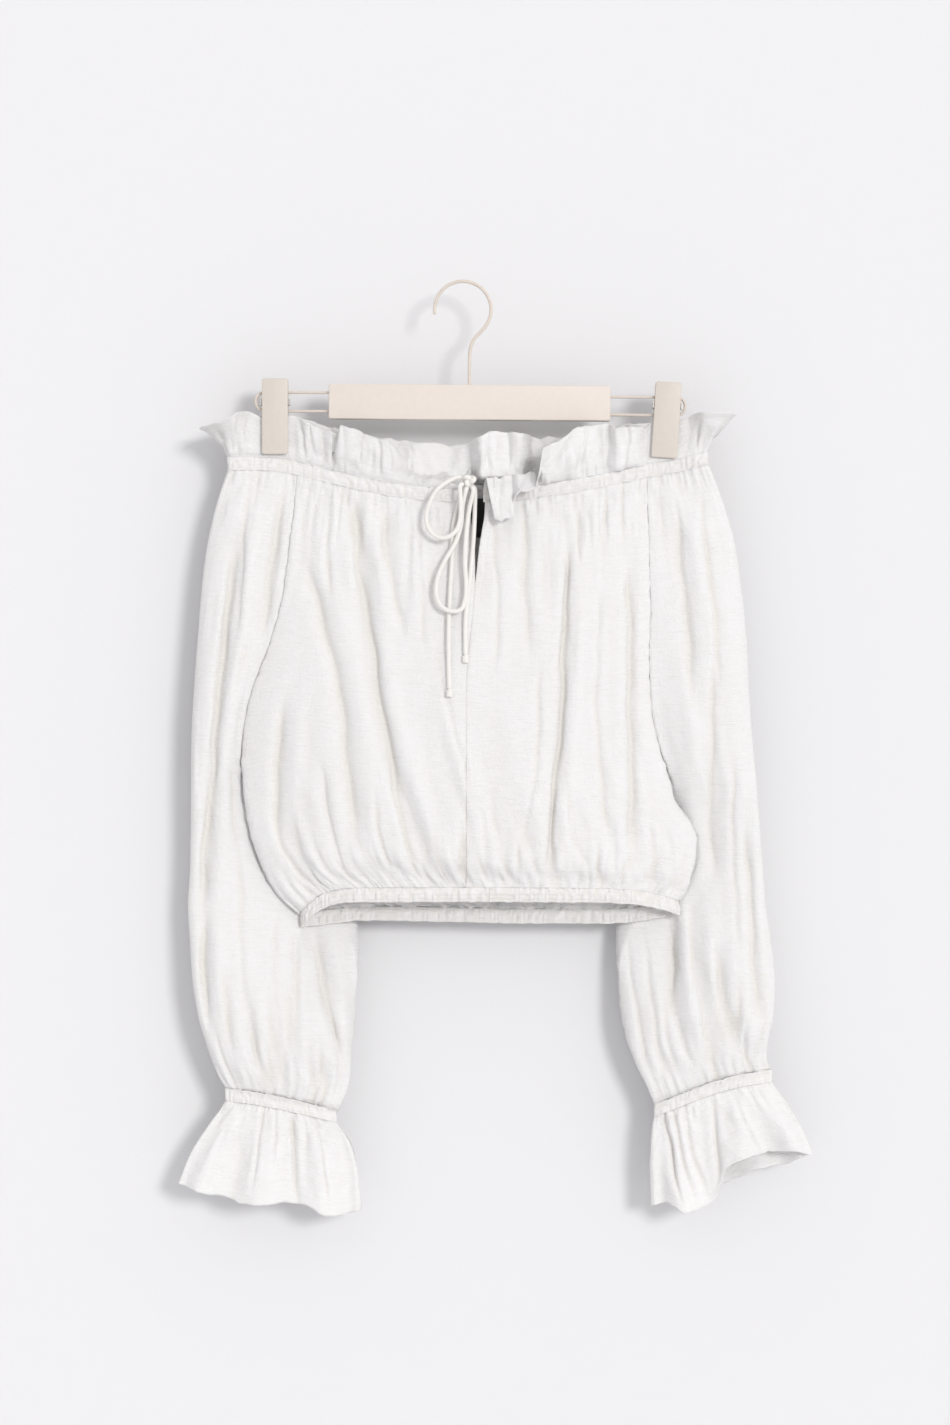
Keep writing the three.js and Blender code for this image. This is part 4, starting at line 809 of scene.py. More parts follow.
def hard_material(name, colour, worn, rough, metallic=0.0):
    """Moulded or painted finish in object coordinates, with a slight mottle."""
    made, tree = start_material(name)
    coordinates = put(tree, "ShaderNodeTexCoord").outputs["Object"]
    place = put(tree, "ShaderNodeMapping", {"Vector": coordinates, "Scale": (1000, 1000, 1000)})
    place = place.outputs["Vector"]
    mottle = grain(tree, place, (0.25, 0.25, 0.25), 3, 0.5)
    pores = grain(tree, place, (1.8, 1.8, 1.8), 3, 0.6)
    colours = blend_colours(tree, span(tree, mottle, 0.35, 0.65), colour, worn)
    roughness = span(tree, pores, 0.3, 0.7, rough - 0.06, rough + 0.08)
    more = {"Metallic": metallic, "Normal": bumped(tree, 0.35, 0.00012, pores)}
    return end_material(made, surface(tree, colours, roughness, more))


def label_material():
    """Black woven tape with a fine rib."""
    made, tree = start_material("black_label_tape")
    place = flat_place(tree)
    wave = {"Vector": place, "Scale": 0.5, "Distortion": 0.2}
    rib = put(tree, "ShaderNodeTexWave", wave, bands_direction="Y").outputs["Fac"]
    fibre = grain(tree, place, (2.0, 0.6, 1), 3, 0.6)
    normal = bumped(tree, 0.5, 0.0003, maths(tree, "MULTIPLY_ADD", fibre, 0.4, rib))
    colour = blend_colours(tree, fibre, (0.012, 0.012, 0.013, 1), (0.035, 0.034, 0.036, 1))
    roughness = span(tree, fibre, 0.3, 0.7, 0.55, 0.75)
    return end_material(made, surface(tree, colour, roughness, {"Normal": normal}))


# Pale colours of the gauzes, and second colours for the slubs' tone and for the painted shade in folds and
# pleats
CLOTH_LIGHT = (0.942, 0.942, 0.948, 1)
CLOTH_TONE_AND_SHADE = (0.885, 0.855, 0.81, 1)
gauze = gauze_material("gauze", CLOTH_LIGHT, CLOTH_TONE_AND_SHADE)
ruffle_gauze = gauze_material("ruffle_gauze", (0.955, 0.955, 0.96, 1), CLOTH_TONE_AND_SHADE, 0.9, 0.12)
casing_gauze = gauze_material("casing_gauze", (0.915, 0.91, 0.912, 1), (0.845, 0.81, 0.76, 1), 0.7, 0.08)
cotton = cord_material()
black_tape = label_material()
bar_finish = hard_material("cream_bar", (0.736, 0.666, 0.604, 1), (0.75, 0.68, 0.617, 1), 0.5)
clip_finish = hard_material("clip_plastic", (0.636, 0.581, 0.521, 1), (0.65, 0.595, 0.535, 1), 0.42)
wire_finish = hard_material("painted_wire", (0.67, 0.6, 0.53, 1), (0.71, 0.635, 0.565, 1), 0.4)
steel_finish = hard_material("spring_steel", (0.56, 0.53, 0.49, 1), (0.62, 0.59, 0.55, 1), 0.3, metallic=0.9)


def settle(obj, finish, slot, *nodes):
    """Gives a piece its finish and its body, and hides the solids that it stands for."""
    obj.data.materials.clear()
    obj.data.materials.append(finish)
    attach(obj, "root")
    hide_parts(*nodes)
    return obj


# Camera at the photograph's angle, level with the middle of the picture, in metres
EYE_PLACE = (0.0096, -3.0, -0.3436)
EYE_LENS = 94.74
eye = bpy.data.cameras.new("camera")
eye.sensor_width = 36
eye.lens = EYE_LENS
camera = bpy.data.objects.new("camera", eye)
camera.location = EYE_PLACE
camera.rotation_euler = (math.pi / 2, 0, 0)
bpy.context.scene.collection.objects.link(camera)
bpy.context.scene.camera = camera


# Drawstring
# A tube's rounded ends: where their two rings lie and their length, as shares of its radius
END_SHARES = (0.4, 0.75)
END_LENGTH = 0.6


def smooth_route(points, steps=10):
    """Points along a centripetal curve through a route, as in the solids."""
    points = np.array(points, float)
    ends = np.concatenate([[2 * points[0] - points[1]], points, [2 * points[-1] - points[-2]]])
    out = []
    for p0, p1, p2, p3 in zip(ends, ends[1:], ends[2:], ends[3:]):
        d0, d1, d2 = (max(np.linalg.norm(b - a), 1e-6) ** 0.5 for a, b in ((p0, p1), (p1, p2), (p2, p3)))
        m1 = ((p1 - p0) / d0 - (p2 - p0) / (d0 + d1) + (p2 - p1) / d1) * d1
        m2 = ((p2 - p1) / d1 - (p3 - p1) / (d1 + d2) + (p3 - p2) / d2) * d1
        for t in np.arange(steps) / steps:
            out.append(
                p1 * (2 * t**3 - 3 * t**2 + 1)
                + m1 * (t**3 - 2 * t**2 + t)
                + p2 * (3 * t**2 - 2 * t**3)
                + m2 * (t**3 - t**2)
            )
    out.append(points[-1])
    return np.array(out)


def tube(name, route, radius, sides=14, closed=False):
    """A round tube along a route, with rounded ends unless it is closed."""
    count = len(route)
    run = unit(np.roll(route, -1, 0) - np.roll(route, 1, 0) if closed else np.gradient(route, axis=0))
    side = unit(np.cross(run[0], (0.3, 1, 0.2)))
    first = []
    for t in run:
        side = unit(side - t * np.dot(side, t))
        first.append(side)
    first = np.array(first)
    second = np.cross(run, first)
    twist = math.atan2(np.dot(first[-1], second[0]), np.dot(first[-1], first[0])) if closed else 0
    angles = 2 * np.pi * np.arange(sides) / sides
    turn = angles[None, :] - twist * (np.arange(count) / count)[:, None]
    ring = first[:, None] * np.cos(turn)[..., None] + second[:, None] * np.sin(turn)[..., None]
    verts = (route[:, None] + ring * radius).reshape(-1, 3)
    ids = np.arange(count * sides).reshape(count, sides)
    ahead, beside = np.roll(ids, -1, 0), np.roll(ids, -1, 1)
    last = slice(None) if closed else slice(0, count - 1)
    parts = [np.stack([ids, beside, np.roll(ahead, -1, 1), ahead], -1)[last].reshape(-1, 4)]
    length = np.concatenate([[0], np.cumsum(np.linalg.norm(np.diff(route, axis=0), axis=1))])
    uv = np.stack(np.broadcast_arrays(angles * radius, length[:, None]), -1).reshape(-1, 2) * MM
    if closed:
        return link(name, verts, parts, uv)
    fans = []
    for row, end, way in ((ids[0], 0, -1), (ids[-1], count - 1, 1)):
        one = len(verts) + np.arange(sides)
        two = one + sides
        for share in END_SHARES:
            reach = run[end] * way * (radius * share) * END_LENGTH
            verts = np.concatenate([verts, ring[end] * radius * math.sqrt(1 - share**2) + route[end] + reach])
        verts = np.concatenate([verts, [route[end] + run[end] * way * radius * END_LENGTH]])
        for low, high in ((row, one), (one, two)):
            parts.append(np.stack([low, np.roll(low, -1), np.roll(high, -1), high], -1)[:, ::way])
        fans.append(np.stack([two, np.roll(two, -1), np.full(sides, len(verts) - 1)], -1)[:, ::way])
    return link(name, verts, parts + fans, np.concatenate([uv, np.zeros((len(verts) - len(uv), 2))]))


TAIL_LEFT = [(2.3, -18.4, -164.6), (1.5, -17.4, -166.2), (-4, -16.9, -180), (-7.6, -18.1, -196),
             (-8.4, -22.6, -216), (-9.6, -25.9, -240), (-11, -29, -270), (-11.2, -31.2, -300),
             (-10.6, -32.1, -324)]
TAIL_RIGHT = [(8.3, -18.5, -164.4), (9.3, -17.5, -165.9), (9.4, -16.7, -182), (8.4, -19.8, -205),
              (6, -25, -232), (3.2, -27.8, -256), (2, -29.3, -272), (2, -31, -297)]
BOW_LOW = [(3, -23.8, -165.4), (2.4, -24.4, -167.4), (-0.4, -21.6, -180), (-1.4, -22, -194),
           (-6, -25.4, -209), (-14, -28.2, -223), (-20, -29.7, -237), (-21, -31.2, -250),
           (-17.4, -32.3, -259), (-10, -32.8, -263.4), (-1.6, -32.7, -262), (1.8, -31.9, -254),
           (2.6, -30.7, -244), (1.6, -28, -222), (3.2, -22.4, -196), (5.4, -21.6, -180),
           (8.3, -25.1, -166.9), (7.5, -24.3, -165.1)]
BOW_HIGH = [(-1.8, -21.4, -157.2), (-3.8, -21.3, -156.6), (-19.6, -24.8, -166), (-26.4, -25, -177.6),
            (-29, -25.3, -188), (-27, -26.9, -198), (-20, -28.6, -204.6), (-12.6, -29.1, -204.8),
            (-5.4, -27.8, -199.4), (-2.2, -26.2, -190), (-1.6, -26.1, -178), (-2, -26.2, -163.4),
            (-0.3, -25.1, -162.5)]


def knot_route(centre, size, turns=160):
    """A closed trefoil pulled tight, which reads as a tied knot from every side."""
    t = 2 * np.pi * np.arange(turns) / turns
    loop = np.stack([np.sin(t) + 2 * np.sin(2 * t), -np.sin(3 * t), np.cos(t) - 2 * np.cos(2 * t)], 1)
    return np.array(centre) + loop * np.array(size)


def end_knot(name, node, centre, core_top):
    """The small knot at a tail's end: three close turns round the cord, and its short end."""
    t = np.linspace(0, 3 * 2 * np.pi, 90)
    x, y, z = centre
    coil = np.stack([x + 1.35 * np.cos(t), y + 1.35 * np.sin(t), z + mix(2.3, -2.1, t / t[-1])], 1)
    wound = tube(name, coil, 1.35, 10)
    core = tube(name + "_core", np.array([core_top, (x, y, z), (x, y, z - 2.6)], float), 1.2, 10)
    return settle(together([wound, core]), cotton, "cord", node)


knot = tube("drawstring_knot", knot_route(KNOT, (1.42, 3.4, 1.25)), 1.95, 14, True)
settle(knot, cotton, "cord", "string_knot")
end_left = end_knot("drawstring_end_left", "string_end_left", (-10.6, -32.0, -328.4), (-10.6, -32.1, -324.6))
end_right = end_knot("drawstring_end_right", "string_end_right", (2.0, -30.8, -301.4), (2.0, -31.0, -297.6))

for name, node, route, end, pieces in (
    ("drawstring_tail_left", "string_tail_left", TAIL_LEFT, "knot", [end_left]),
    ("drawstring_tail_right", "string_tail_right", TAIL_RIGHT, "knot", [end_right]),
    ("drawstring_bow_low", "string_bow_low", BOW_LOW, "object", []),
    ("drawstring_bow_high", "string_bow_high", BOW_HIGH, "object", ["drawstring_knot"]),
):
    line = smooth_route(route)
    strand = tube(name, line, CORD_D / 2)
    settle(strand, cotton, "cord", node)


# Front, back and sleeves
HEM_STEPS = [(3.2, 1.25, -1, 17), (6, 1.8, 1, 42), (11, 2.0, 6, 84), (20, 1.4, 24, 160)]
WRIST_STEPS = [(3.2, 1.35, -1, 24), (6, 2.2, 1, 60), (11.5, 2.3, 8, 120), (21, 1.7, 24, 190)]


def trough_shade(rise, step=4):
    """Painted shade of the troughs: how far a place lies below its neighbours across."""
    shifts = range(-3 * step, 3 * step + 1, step)
    around = sum(np.roll(rise, shift, 1) for shift in shifts) / len(shifts)
    return clamp((around - rise) / 2.2, 0, 1)


def main_shade(which, place):
    """Painted shade of the main folds."""
    return 0.4 * clamp(fold_depth(FOLDS[which], place[..., 0], place[..., 2]) / 5, 0, 1)


def dress_body(side, u, place, turn, seed):
    """Adds pleats, creases and seam puckers to a grid of the front or back, and gives the painted shade of
    its troughs and main folds.
    """
    away_top = place[:1, :, 2] - place[..., 2]
    away_low = place[..., 2] - place[-1:, :, 2]
    rise = gathers(seed, u * 280, away_top)
    rise += gathers(seed + 500, u * 305, away_low, 1.0, HEM_STEPS)
    rise -= crease_depth(CREASES[side], place)
    rise += 0.5 * noise(seed + 90, u * 280 / 9, away_top / 60)
    edge = np.minimum(u, 1 - u) * 320
    rise *= mix(0.3, 1, ramp(edge, 0, 9))
    rise += pucker(seed + 70, away_top, edge)
    dressed = place + outward(place, turn) * rise[..., None]
    return dressed, trough_shade(rise) + main_shade(side, place)


# Columns and rows of the cloths' grids
FRONT_GRID = (146, 186)
BACK_GRID = (170, 134)
SLEEVE_GRID = (190, 188)
CASING_ROWS = 11
RUFFLE_ROWS = 36
WRIST_ROWS = 13
CUFF_ROWS = 54
CUFF_AROUND = 300

for half in ("left", "right"):
    w, v = grid(spread(FRONT_GRID[0]), spread(FRONT_GRID[1]))
    near = 1 - w if half == "left" else w
    u = front_share(half, w, v)
    place = body_point("front", u, v)
    place, painted_shade = dress_body("front", u, place, 1, 11)
    gap = read(CENTRE, "half", place[..., 2])
    place[..., 0] += (0.13 if half == "left" else -0.13) * np.exp(-((near * 60) ** 2))
    beside = near * 145
    slit = ramp(gap, 0.3, 1.4)
    rim = 0.35 * slit * (1 - ramp(beside, 4.5, 5.5)) - 0.3 * slit * np.exp(-(((beside - 5.4) / 0.8) ** 2))
    uneven = 0.35 * noise(77, place[..., 2] / 6, beside / 8) * np.exp(-beside / 7)
    seam = (1 - slit) * (-0.2 * np.exp(-((beside / 1.3) ** 2)) + uneven)
    place = place + outward(place, 1) * (rim + seam)[..., None]
    cloth = shell("front_" + half + "_cloth", place, CLOTH, 1, offset=(0 if half == "left" else 400, 0))
    # Painted shade of the folds, and a darker line along the closed centre seam
    set_painted_shade(cloth, painted_shade + 0.25 * np.exp(-((beside / 1.5) ** 2)) * (1 - slit))
    settle(cloth, gauze, "gauze", "front_" + half)

u, v = grid(spread(BACK_GRID[0]), spread(BACK_GRID[1]))
place, painted_shade = dress_body("back", u, body_point("back", u, v), -1, 23)
back_cloth = shell("back_cloth", place, CLOTH, -1, offset=(900, 0))
# Painted shade of the troughs and main folds
set_painted_shade(back_cloth, painted_shade)
settle(back_cloth, gauze, "gauze", "back_panel")


def smoothed(values, share, reach=9):
    """Values of a grid averaged down its columns, as far as a share says."""
    rows = len(values)
    weights = np.exp(-0.5 * (np.arange(-2 * reach, 2 * reach + 1) / reach) ** 2)
    total = np.zeros_like(values)
    for step, weight in zip(range(-2 * reach, 2 * reach + 1), weights):
        total += weight * values[clamp(np.arange(rows) + step, 0, rows - 1).astype(int)]
    return mix(values, total / weights.sum(), share)


# Lengths along the upper and lower edge over which a sleeve's pleats are counted
SLEEVE_ARCS = {"left": (56, 95), "right": (50, 98)}
for which, way, seed in (("left", -1, 37), ("right", 1, 43)):
    turn, t = grid(spread(SLEEVE_GRID[0]), spread(SLEEVE_GRID[1], 0, 2))
    place = sleeve_point(which, t, turn)
    across = np.sin(np.pi * turn) ** 2
    front = turn < 0.5
    place[..., 1] = smoothed(place[..., 1], np.exp(-(((t - 1.03) / 0.11) ** 2)))
    top_arc, low_arc = SLEEVE_ARCS[which]
    shift = np.where(front, 0, 400)
    away_top = place[:1, :, 2] - place[..., 2]
    away_low = place[..., 2] - place[-1:, :, 2]
    at_edge = 1 - ramp(np.abs(across - 1) * 80, 0, 6)
    rise = gathers(seed, across * top_arc + shift, away_top)
    rise += gathers(seed + 500, across * low_arc + shift, away_low, 1.0, WRIST_STEPS)
    rise -= crease_depth(CREASES[which], place) * np.where(front, 1, 0.7)
    rise += 0.6 * noise(seed + 90, across * 11 + shift / 9, t * 6)
    rise *= mix(1.0, 0.25, at_edge)
    edge = across * 90
    rise *= mix(0.3, 1, ramp(edge, 0, 8))
    rise += pucker(seed + 70, t * 300, edge)
    main = main_shade(which, place)
    place = place + outward(place, way) * rise[..., None]
    cloth = shell("sleeve_" + which + "_cloth", place, CLOTH, way, offset=(1500 + 400 * way, 0))
    # Painted shade of the troughs, and of the main folds on the front
    set_painted_shade(cloth, trough_shade(rise) + main * np.where(front, 1, 0))
    settle(cloth, gauze, "gauze", "sleeve_" + which + "_head", "sleeve_" + which)


# Casings with fine pleats between two rows of stitching
def crimps(n):
    return np.sqrt(n * n + 0.01) * 2 - 0.9


def stitch_rows(v, width):
    return -0.3 * (np.exp(-(((v - 0.2) / width) ** 2)) + np.exp(-(((v - 0.8) / width) ** 2)))


def casing(name, node, ring, height, count, closed, seed, pitch=3.4, deep_by=0.95):
    us = np.arange(count) / count if closed else spread(count)
    u, v = grid(us, spread(CASING_ROWS, -0.05, 1.08))
    p, out, s = ring(u)
    hill = crimps(noise(seed, s / pitch + 30, v * 1.4 + 5))
    fold = 0.35 * noise(seed + 5, s / 9, v + 3)
    crown = np.sin(np.pi * clamp(v, 0, 1))
    rise = deep_by * hill * (0.55 + 0.45 * crown) + fold + stitch_rows(v, 0.06) + 0.25 * crown
    place = p + out * rise[..., None]
    place[..., 2] += height * (0.5 - v) + 0.35 * noise(seed + 9, s / 5, v)
    cloth = shell(name, place, CASING_CLOTH, 1, closed, offset=(0, 2000 + seed))
    # Painted shade in the troughs of the pleats
    set_painted_shade(cloth, clamp(-(deep_by * hill) * 0.9, 0, 1))
    settle(cloth, casing_gauze, "gauze_casing", node)


casing("neck_casing_cloth", "neck_casing", neck_ring, NECK_BAND, 900, False, 51)
casing("hem_casing_cloth", "hem_casing", hem_ring, HEM_BAND, 820, True, 57, 3.0, 1.15)


# Creases of the front of the ruffle
RUFFLE_CREASES = [
    (1.5, 3.0, 1, [(-100.5, -118), (-103, -135), (-104, -152)]),
    (1.3, 2.2, -1, [(-77, -117), (-79, -135), (-81, -152)]),
    (2.6, 2.2, 1, [(-113, -116), (-112, -134), (-110, -148)]),
    (1.6, 1.8, -1, [(-132, -108), (-128, -126), (-126, -140)]),
    (1.4, 1.7, 1, [(-124, -110), (-120, -128), (-117, -142)]),
    (1.5, 1.9, 1, [(-70, -120), (-65, -138), (-66, -154)]),
    (1.4, 1.8, -1, [(-58, -124), (-54, -142), (-57, -158)]),
    (1.6, 2.0, 1, [(-46, -124), (-40, -140), (-44, -160)]),
    (1.4, 2.0, 1, [(-199, -112), (-191, -128), (-187, -140)]),
    (1.5, 2.2, -1, [(-190, -106), (-186, -124), (-183, -140)]),
    (1.3, 1.8, 1, [(-180, -104), (-179, -124), (-178, -140)]),
    (1.2, 1.6, -1, [(-170, -104), (-172, -124), (-173, -140)]),
    (1.5, 2.4, 1, [(109, -108), (111, -130), (112, -150)]),
    (1.3, 2.0, -1, [(115, -110), (116, -130), (116, -150)]),
    (1.4, 1.7, 1, [(102, -112), (98, -132), (92, -150)]),
    (1.6, 2.0, -1, [(90, -118), (80, -134), (72, -152)]),
    (1.4, 1.5, 1, [(130, -108), (132, -124), (130, -140)]),
    (1.5, 3.2, 1, [(19, -112), (20, -136), (22, -156)]),
    (2.8, 4.2, -1, [(33, -112), (36, -136), (40, -154)]),
    (1.4, 2.4, 1, [(49, -112), (48, -136), (47, -154)]),
    (1.4, 1.7, 1, [(222, -112), (209, -124), (198, -140)]),
    (1.3, 1.9, -1, [(213, -108), (203, -122), (195, -140)]),
    (1.3, 1.8, 1, [(202, -108), (196, -122), (191, -140)]),
    (1.2, 1.6, -1, [(190, -108), (188, -122), (187, -140)]),
]


# Neck ruffle
def ruffle_point(u, v):
    p, out, s = neck_ring(u)
    turn_right = neck_ring.lengths[np.argmax(neck_ring.points[:, 0])]
    turn_left = neck_ring.lengths[np.argmin(neck_ring.points[:, 0])]
    front = (s < turn_right) | (s > turn_left)
    late = (s > turn_left) & (p[..., 0] > 0)
    x = np.where(late, np.minimum(p[..., 0], 4.6), np.maximum(p[..., 0], np.where(s < 60, 12, -999)))

    def sided(column):
        return np.where(front, read(RUFFLE_FRONT, column, x), read(RUFFLE_BACK, column, x))

    height, lean = sided("height"), np.radians(sided("lean"))
    upright = np.minimum(np.abs(p[..., 0] + 150.2), np.abs(p[..., 0] - 162.4))
    free = ramp(upright, 13, 30)
    length = height * v
    outward_by, up = np.zeros(np.shape(v)), np.full(np.shape(v), NECK_BAND / 2 + 2 * SEAM)
    steps = 24
    base = np.where(front, np.radians(read(RUFFLE_SHAPE, "base", x)), 0)
    forward = -20 * ramp(x, 8, 15) * (1 - ramp(x, 47, 55))
    bulge = np.where(front, read(RUFFLE_SHAPE, "bulge", x), forward)
    start = np.where(front, read(RUFFLE_SHAPE, "start", x), -2)
    reach = np.where(start > 0, start + 9, 13)
    for i in range(steps):
        along = length * (i + 0.5) / steps
        angle = lean * ramp(along, start, reach) + base * (1 - ramp(along, 2, 10))
        outward_by = outward_by + np.sin(angle) * length / steps
        up = up + np.cos(angle) * length / steps
    phase = 2 * np.pi * RUFFLE_WAVES * u + 1.1 * np.sin(2 * np.pi * 5 * u)
    tall = clamp(np.cos(lean * 0.7), 0.3, 1)
    wave = 2.3 * np.sin(phase) * v**0.8 * free * tall
    narrow = ramp(v, 0, 1) * (1 - free) * (np.abs(p[..., 1]) - 1.15)
    inward = np.where(p[..., 1] < 0, narrow, -narrow)
    rooted = np.where(front, ramp(v, 0, 0.4), ramp(v, 0, 0.11))
    place = p + out * (outward_by * free + wave + bulge * free * rooted)[..., None]
    place[..., 1] += inward
    hanging = np.where(front, ramp(x, 4.6, 12) * (1 - ramp(x, 34, 42)), 0)
    place[..., 0] += hanging * mix(10, 3, ramp(x, 12, 34)) * v
    place[..., 2] += up - np.abs(np.sin(phase)) * 0.8 * v * free
    return place, free, s


RUFFLE_STEPS = [(3.7, 1.0, -1, 16), (6.5, 1.6, 2, 40), (11, 1.9, 8, 70), (21, 1.5, 16, 90)]
shares = np.concatenate([spread(240, 0, 0.12), spread(660, 0.12, 1)[1:]])
u, v = grid(shares, spread(RUFFLE_ROWS))
place, free, s = ruffle_point(u, v)
# The pleats lean to one side and the other as they rise
lean_by = 9 * noise(62, s / 46, v * 0 + 2) * v
rise = gathers(61, s + lean_by, v * 37, 0.95, RUFFLE_STEPS) * mix(0.25, 1, free)
top_hem = ramp(v, 0.86, 0.9)
ripple = 1.3 * noise(67, (s + lean_by) / 12, v * 2.5) * v * free
ripple += 0.5 * noise(68, (s - 2 * lean_by) / 5, v * 6) * ramp(v, 0.1, 0.5) * free
facing = (np.gradient(place[..., 0], axis=1) > 0) & (np.abs(s - s[:1]) < 1)
ripple -= crease_depth(RUFFLE_CREASES, place) * np.where(facing, 1, -0.6)
place = place + outward(place, -1) * (rise + ripple)[..., None]
ragged = 1.1 * noise(69, s / 9, v * 0 + 1) + 0.6 * noise(70, s / 4, v * 0 + 1)
place[..., 2] += ragged * v * v * mix(0.4, 1, free)
thick = mix(0.45, 0.85, top_hem) - 0.25 * np.exp(-(((v - 0.885) / 0.012) ** 2))
ruffle = shell("neck_ruffle_cloth", place, thick, -1, offset=(0, 3000))
# Painted shade in the troughs of the pleats and ripples
set_painted_shade(ruffle, trough_shade(rise + ripple, 2) * 0.45)
settle(ruffle, ruffle_gauze, "gauze", "neck_ruffle")


# Wrist casings and cuff ruffles
def cuff_ring(rows, which, drop, share, extra):
    across = np.sin(np.pi * share) ** 2
    sign = np.where(share < 0.5, -1, 1)
    x, z = (strip_at(rows, axis, drop, across) for axis in ("_x", "_z"))
    z = z + wrist_rise(which, across) * (1 - drop)
    half = read(rows, "half", drop) + extra
    y = mix(3, 0, across) + sign * half * np.abs(np.sin(2 * np.pi * share))
    return np.stack([x, y, z], -1)


# Creases of the cuffs
CUFF_CREASES = [
    (1.8, 3.2, 1, [(-137, -652), (-136, -676), (-131, -742)]),
    (1.5, 1.8, -1, [(-158, -650), (-163, -690), (-170, -730)]),
    (1.4, 1.6, 1, [(-118, -660), (-112, -700), (-107, -740)]),
    (1.3, 1.5, 1, [(-148, -652), (-149, -676), (-152, -712)]),
    (1.8, 3.0, 1, [(159, -652), (161, -668), (175, -740)]),
    (1.6, 2.8, -1, [(166, -652), (169, -668), (188, -741)]),
    (1.5, 2.0, 1, [(176, -650), (181, -680), (196, -735)]),
    (2.2, 2.6, -1, [(199, -646), (200, -668), (204, -730)]),
    (1.5, 1.6, 1, [(214, -644), (224, -668), (240, -700)]),
]
CUFF_STEPS = [(3.3, 0.9, -1, 18), (6.5, 1.6, 2, 50), (12, 2.1, 8, 100), (22, 1.8, 20, 140)]
for which, rows, way, seed in (("left", CUFF_LEFT, -1, 71), ("right", CUFF_RIGHT, 1, 83)):
    # Shares that space the columns evenly along the flattened ring
    even = np.arange(CUFF_AROUND) / CUFF_AROUND
    share = np.arccos(1 - 2 * (1 - np.abs(1 - 2 * even))) / np.pi
    share = np.where(even < 0.5, share / 2, 1 - share / 2)
    around = 0.5 * (even + share)
    u, v = grid(around, spread(WRIST_ROWS, -0.25, 1.03))
    across = np.sin(np.pi * u) ** 2
    arc = np.where(u < 0.5, across, 2 - across) * 92
    flat = np.abs(np.sin(2 * np.pi * u))
    hill = crimps(noise(seed, arc / 3.5, v * 1.3 + 4))
    place = cuff_ring(rows, which, np.zeros_like(v), u, 0.8 + 7 * clamp(-v, 0, 1))
    place[..., 2] += 2 * SEAM + (WRIST_BAND - 2 * SEAM) * (1 - v)
    place[..., 0] += way * 0.4 * (1 - v)
    rise = 0.75 * hill + 0.25 * np.sin(np.pi * v) + stitch_rows(v, 0.07)
    rise *= mix(0.4, 1, ramp(flat, 0, 0.3))
    place = place + outward(place, way, True) * rise[..., None]
    wrist = shell("wrist_casing_" + which + "_cloth", place, CASING_CLOTH, way, True, offset=(0, 4000 + seed))
    # Painted shade in the troughs of the pleats
    set_painted_shade(wrist, clamp(-0.75 * hill, 0, 1))
    settle(wrist, casing_gauze, "gauze_casing", "cuff_" + which)

    u, v = grid(around, spread(CUFF_ROWS))
    across = np.sin(np.pi * u) ** 2
    arc = np.where(u < 0.5, across, 2 - across) * 95
    flat = np.abs(np.sin(2 * np.pi * u))
    swell = 4.2 * v * np.sin(2 * np.pi * CUFF_WAVES * u + 0.7)
    place = cuff_ring(rows, which, v, u, 0)
    place[..., 1] += np.where(u < 0.5, -1, 1) * swell * ramp(flat, 0.1, 0.6)
    front, back = (read(CUFF_EDGES, which + side, 1 - across) for side in ("_front", "_back"))
    place[..., 2] += np.where(u < 0.5, front, back) * v**2
    ragged = 0.9 * noise(seed + 4, arc / 7, v * 0) + 0.5 * noise(seed + 5, arc / 3, v * 0)
    place[..., 2] += ragged * v**6
    rise = gathers(seed + 3, arc, v * 72, 1.0, CUFF_STEPS)
    rise += 0.8 * noise(seed + 8, arc / 16, v * 2) * v
    rise += 0.4 * noise(seed + 9, arc / 4, v * 9) * ramp(v, 0, 0.2)
    rise -= crease_depth(CUFF_CREASES, place) * np.where(u < 0.5, 1, 0.6)
    rise *= mix(0.35, 1, ramp(flat, 0, 0.25))
    place = place + outward(place, way, True) * rise[..., None]
    thick = mix(0.45, 0.85, ramp(v, 0.91, 0.93)) - 0.25 * np.exp(-(((v - 0.92) / 0.008) ** 2))
    cuff = shell("cuff_ruffle_" + which + "_cloth", place, thick, way, True, offset=(0, 5000 + seed))
    # Painted shade in the troughs of the pleats
    set_painted_shade(cuff, trough_shade(rise, 3) * 0.8)
    settle(cuff, ruffle_gauze, "gauze", "cuff_" + which)


# Label: a bare black strip inside the back of the neck
LABEL_X = 9
u, v = grid(spread(30, -14, 14), spread(32, 0, 31))
z = float(read(NECK, "back_z", LABEL_X)) - NECK_BAND / 2 - SEAM - 2 - v
y = body_y("back", u + LABEL_X, z) - 0.6 - 1.5
curl = 0.25 * np.sin(u / 5) * (v / 31)
hems = 0.2 * (ramp(-v, -2, -1.2) + ramp(v, 29, 29.8))
lean = math.radians(1)
place = np.stack([LABEL_X + u - v * math.sin(lean), y + curl - hems, z + u * math.sin(lean)], -1)
tape = shell("label_tape", place, 0.6, 1)
settle(tape, black_tape, "label", "label")


# Hanger
tilt = Matrix.Rotation(math.radians(HANGER_TILT), 4, "Y")


def finish_solid(obj, move):
    """Puts a finished piece's place into its mesh and shades its rounded edges."""
    pick(obj)
    obj.data.transform(move)
    bpy.ops.object.shade_smooth_by_angle(angle=math.radians(35))
    return obj


